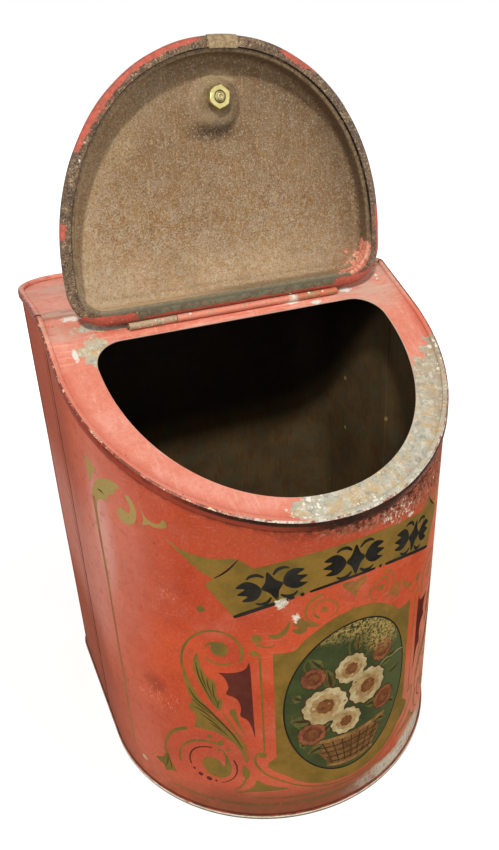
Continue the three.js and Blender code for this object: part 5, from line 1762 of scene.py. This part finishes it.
# Each rose's place, radius, turn and kind
rose(-16, 98, 16, 10, "cream")
rose(15, 102, 15, 35, "cream")
rose(2, 123, 12, 0, "cream")
rose(-24, 124, 8.5, 50, "russet")
rose(27, 126, 9, 20, "russet")
rose(30, 82, 9.5, 5, "russet")
rose(-1, 79, 11.5, 15, "cream")
rose(-25, 76, 10, 40, "russet")
for cs, cz, length, width, angle in (
    (-26, 88, 17, 9, 80), (-12, 112, 17, 9, 12), (-18, 130, 15, 8, 40), (14, 132, 15, 8, -30),
    (26, 112, 16, 9, -70), (34, 100, 13, 7, -84), (-32, 108, 13, 7, 62), (6, 136, 13, 7, -4),
    (36, 74, 13, 7, -130), (14, 84, 14, 8, -100), (-30, 68, 12, 8, 120), (-12, 82, 13, 7, 140),
    (20, 68, 15, 8, -118), (-18, 63, 14, 8, 116), (30, 134, 11, 6, -30),
):
    length *= reach_inside(cs, cz, length, angle)
    spray["leaf"].append(petal(LEAF_FORM, cs, cz, length, width, angle))
    spray["leaf_rib"].append(petal(LEAF_FORM, cs + 0.4, cz, length * 0.92, width * 0.28, angle))
for points in (
    [(-24, 124, 1.1), (-30, 134, 1.2), (-27, 141, 0.6)],
    [(27, 126, 1.1), (30, 138, 1.2), (25, 146, 0.6)],
    [(2, 130, 1.2), (0, 142, 1.2), (4, 149, 0.6)],
    [(-30, 80, 1.2), (-37, 88, 1.2), (-38, 96, 0.6)],
):
    spray["stem"].append(stroke(points))
spray["basket"].append(blob([
    (-24, 67), (-10, 65.4), (3, 65), (16, 65.4), (31, 67), (28, 58), (22.6, 49), (20, 43.6),
    (11, 41), (3, 40.4), (-5, 41), (-13.4, 43.6), (-16, 49), (-21.4, 58),
]))
for level, half in ((60.6, 24.4), (55.6, 21.6), (50.6, 18.8), (45.6, 16.4)):
    row = [(OVAL_S + half * t, level - 1.6 * (1 - t * t), 1.0) for t in (-1, -0.5, 0, 0.5, 1)]
    spray["basket_weave"].append(stroke(row))
rib_form = ((26, 65, 0.9), (21, 54, 0.9), (16.6, 42.6, 0.7))
for share in (-0.82, -0.55, -0.28, 0, 0.28, 0.55, 0.82):
    rib = [(OVAL_S + reach * share, z, width) for reach, z, width in rib_form]
    spray["basket_weave"].append(stroke(rib))
spray["basket_rim"].append(stroke([
    (-25, 67.4, 2.2), (-11, 65.6, 3.4), (3, 65, 3.4), (17, 65.6, 3.4), (32, 67.4, 2.2),
]))
spray["basket_rim"].append(stroke([
    (-14.6, 43, 1.6), (-5, 40.6, 2.4), (3, 40, 2.4), (11, 40.6, 2.4), (21.4, 43, 1.6),
]))
for name, lift, first, second, size in SPRAY_LOOKS:
    lay("spray_" + name, spray[name], lift, picture_look("paint_" + name, first, second, size))
crack = [(25, 113, 0.3), (31, 115.2, 0.8), (36, 114.4, 0.5), (43, 114.6, 0.9), (48.6, 112.6, 0.3)]
lay("oval_crack", [stroke(crack)], 0.28, picture_look("crack_pale", (176, 168, 130), (140, 132, 96), 3.0))


# Camera
YAW, PITCH, ROLL = -0.414, 0.459, -0.047
CAMERA_PLACE = Vector((-181.4, -409.7, 457.0)) * MM
SENSOR = 36.0
FOCAL_PIXELS = 708.6
PHOTO_HEIGHT = 850
forward = Vector((-math.sin(YAW) * math.cos(PITCH), math.cos(YAW) * math.cos(PITCH), -math.sin(PITCH)))
flat_right = Vector((math.cos(YAW), math.sin(YAW), 0))
flat_up = flat_right.cross(forward)
right = math.cos(ROLL) * flat_right + math.sin(ROLL) * flat_up
up = -math.sin(ROLL) * flat_right + math.cos(ROLL) * flat_up
camera_data = bpy.data.cameras.new("camera")
camera_data.sensor_width = SENSOR
camera_data.lens = FOCAL_PIXELS / PHOTO_HEIGHT * SENSOR
camera_data.clip_start = 0.01
camera_data.clip_end = 60.0
camera = bpy.data.objects.new("camera", camera_data)
turned = Matrix((right, up, -forward)).transposed().to_4x4()
camera.matrix_world = Matrix.Translation(CAMERA_PLACE) @ turned
bpy.context.scene.collection.objects.link(camera)
bpy.context.scene.camera = camera


# Floor, background and lights
world = bpy.data.worlds.new("studio")
bpy.context.scene.world = world
sky = Graph(world)
ambient = sky.node("Background", {"Color": (0.98, 0.99, 1.0, 1), "Strength": 0.3}).outputs[0]
white = sky.node("Background", {"Color": (1, 1, 1, 1), "Strength": 1.0}).outputs[0]
choice = sky.node("MixShader", {0: sky.seen_ray(), 1: ambient, 2: white}).outputs[0]
sky.node("OutputWorld", {0: choice})

floor_material = bpy.data.materials.new("studio_floor")
ground = Graph(floor_material)
matte = ground.node("BsdfDiffuse", {"Color": (0.7, 0.69, 0.67, 1)}).outputs[0]
# The floor glows more far from the bin, so that it ends in the same white as the background
away = ground.node("VectorMath", {0: ground.node("TexCoord").outputs["Object"]}, operation="LENGTH")
levels = {"Value": away.outputs["Value"], "From Min": 0.25, "From Max": 0.9, "To Min": 0.52, "To Max": 1.1}
rise = ground.node("MapRange", levels, interpolation_type="SMOOTHSTEP").outputs[0]
strength = ground.times(ground.seen_ray(), rise)
glow = ground.node("Emission", {"Color": (1, 1, 1, 1), "Strength": strength}).outputs[0]
lit = ground.node("AddShader", {0: matte, 1: glow}).outputs[0]
ground.node("OutputMaterial", {"Surface": lit})

floor_mesh = bpy.data.meshes.new("floor")
half, level = 9, -0.0002
floor_corners = [(-half, -half, level), (half, -half, level), (half, half, level), (-half, half, level)]
floor_mesh.from_pydata(floor_corners, [], [(0, 1, 2, 3)])
floor_mesh.materials.append(floor_material)
floor = bpy.data.objects.new("floor", floor_mesh)
bpy.context.scene.collection.objects.link(floor)


def lamp(name, place, size, power, color, target=(0, 0, 0.2)):
    data = bpy.data.lights.new(name, "AREA")
    data.shape = "DISK"
    data.size = size
    data.energy = power
    data.color = color
    obj = bpy.data.objects.new(name, data)
    obj.location = place
    obj.rotation_euler = (Vector(target) - Vector(place)).to_track_quat("-Z", "Y").to_euler()
    bpy.context.scene.collection.objects.link(obj)


lamp("key", (-0.68, -1.3, 1.92), 0.2, 31.0, (1.0, 0.98, 0.95), (0, 0, 0.3))
lamp("left_fill", (-1.7, -0.9, 0.95), 0.9, 6.0, (0.97, 0.98, 1.0))
lamp("right_fill", (1.7, -0.9, 0.9), 1.2, 9.0, (1.0, 0.97, 0.93))

view = bpy.context.scene.view_settings
view.view_transform = "Standard"
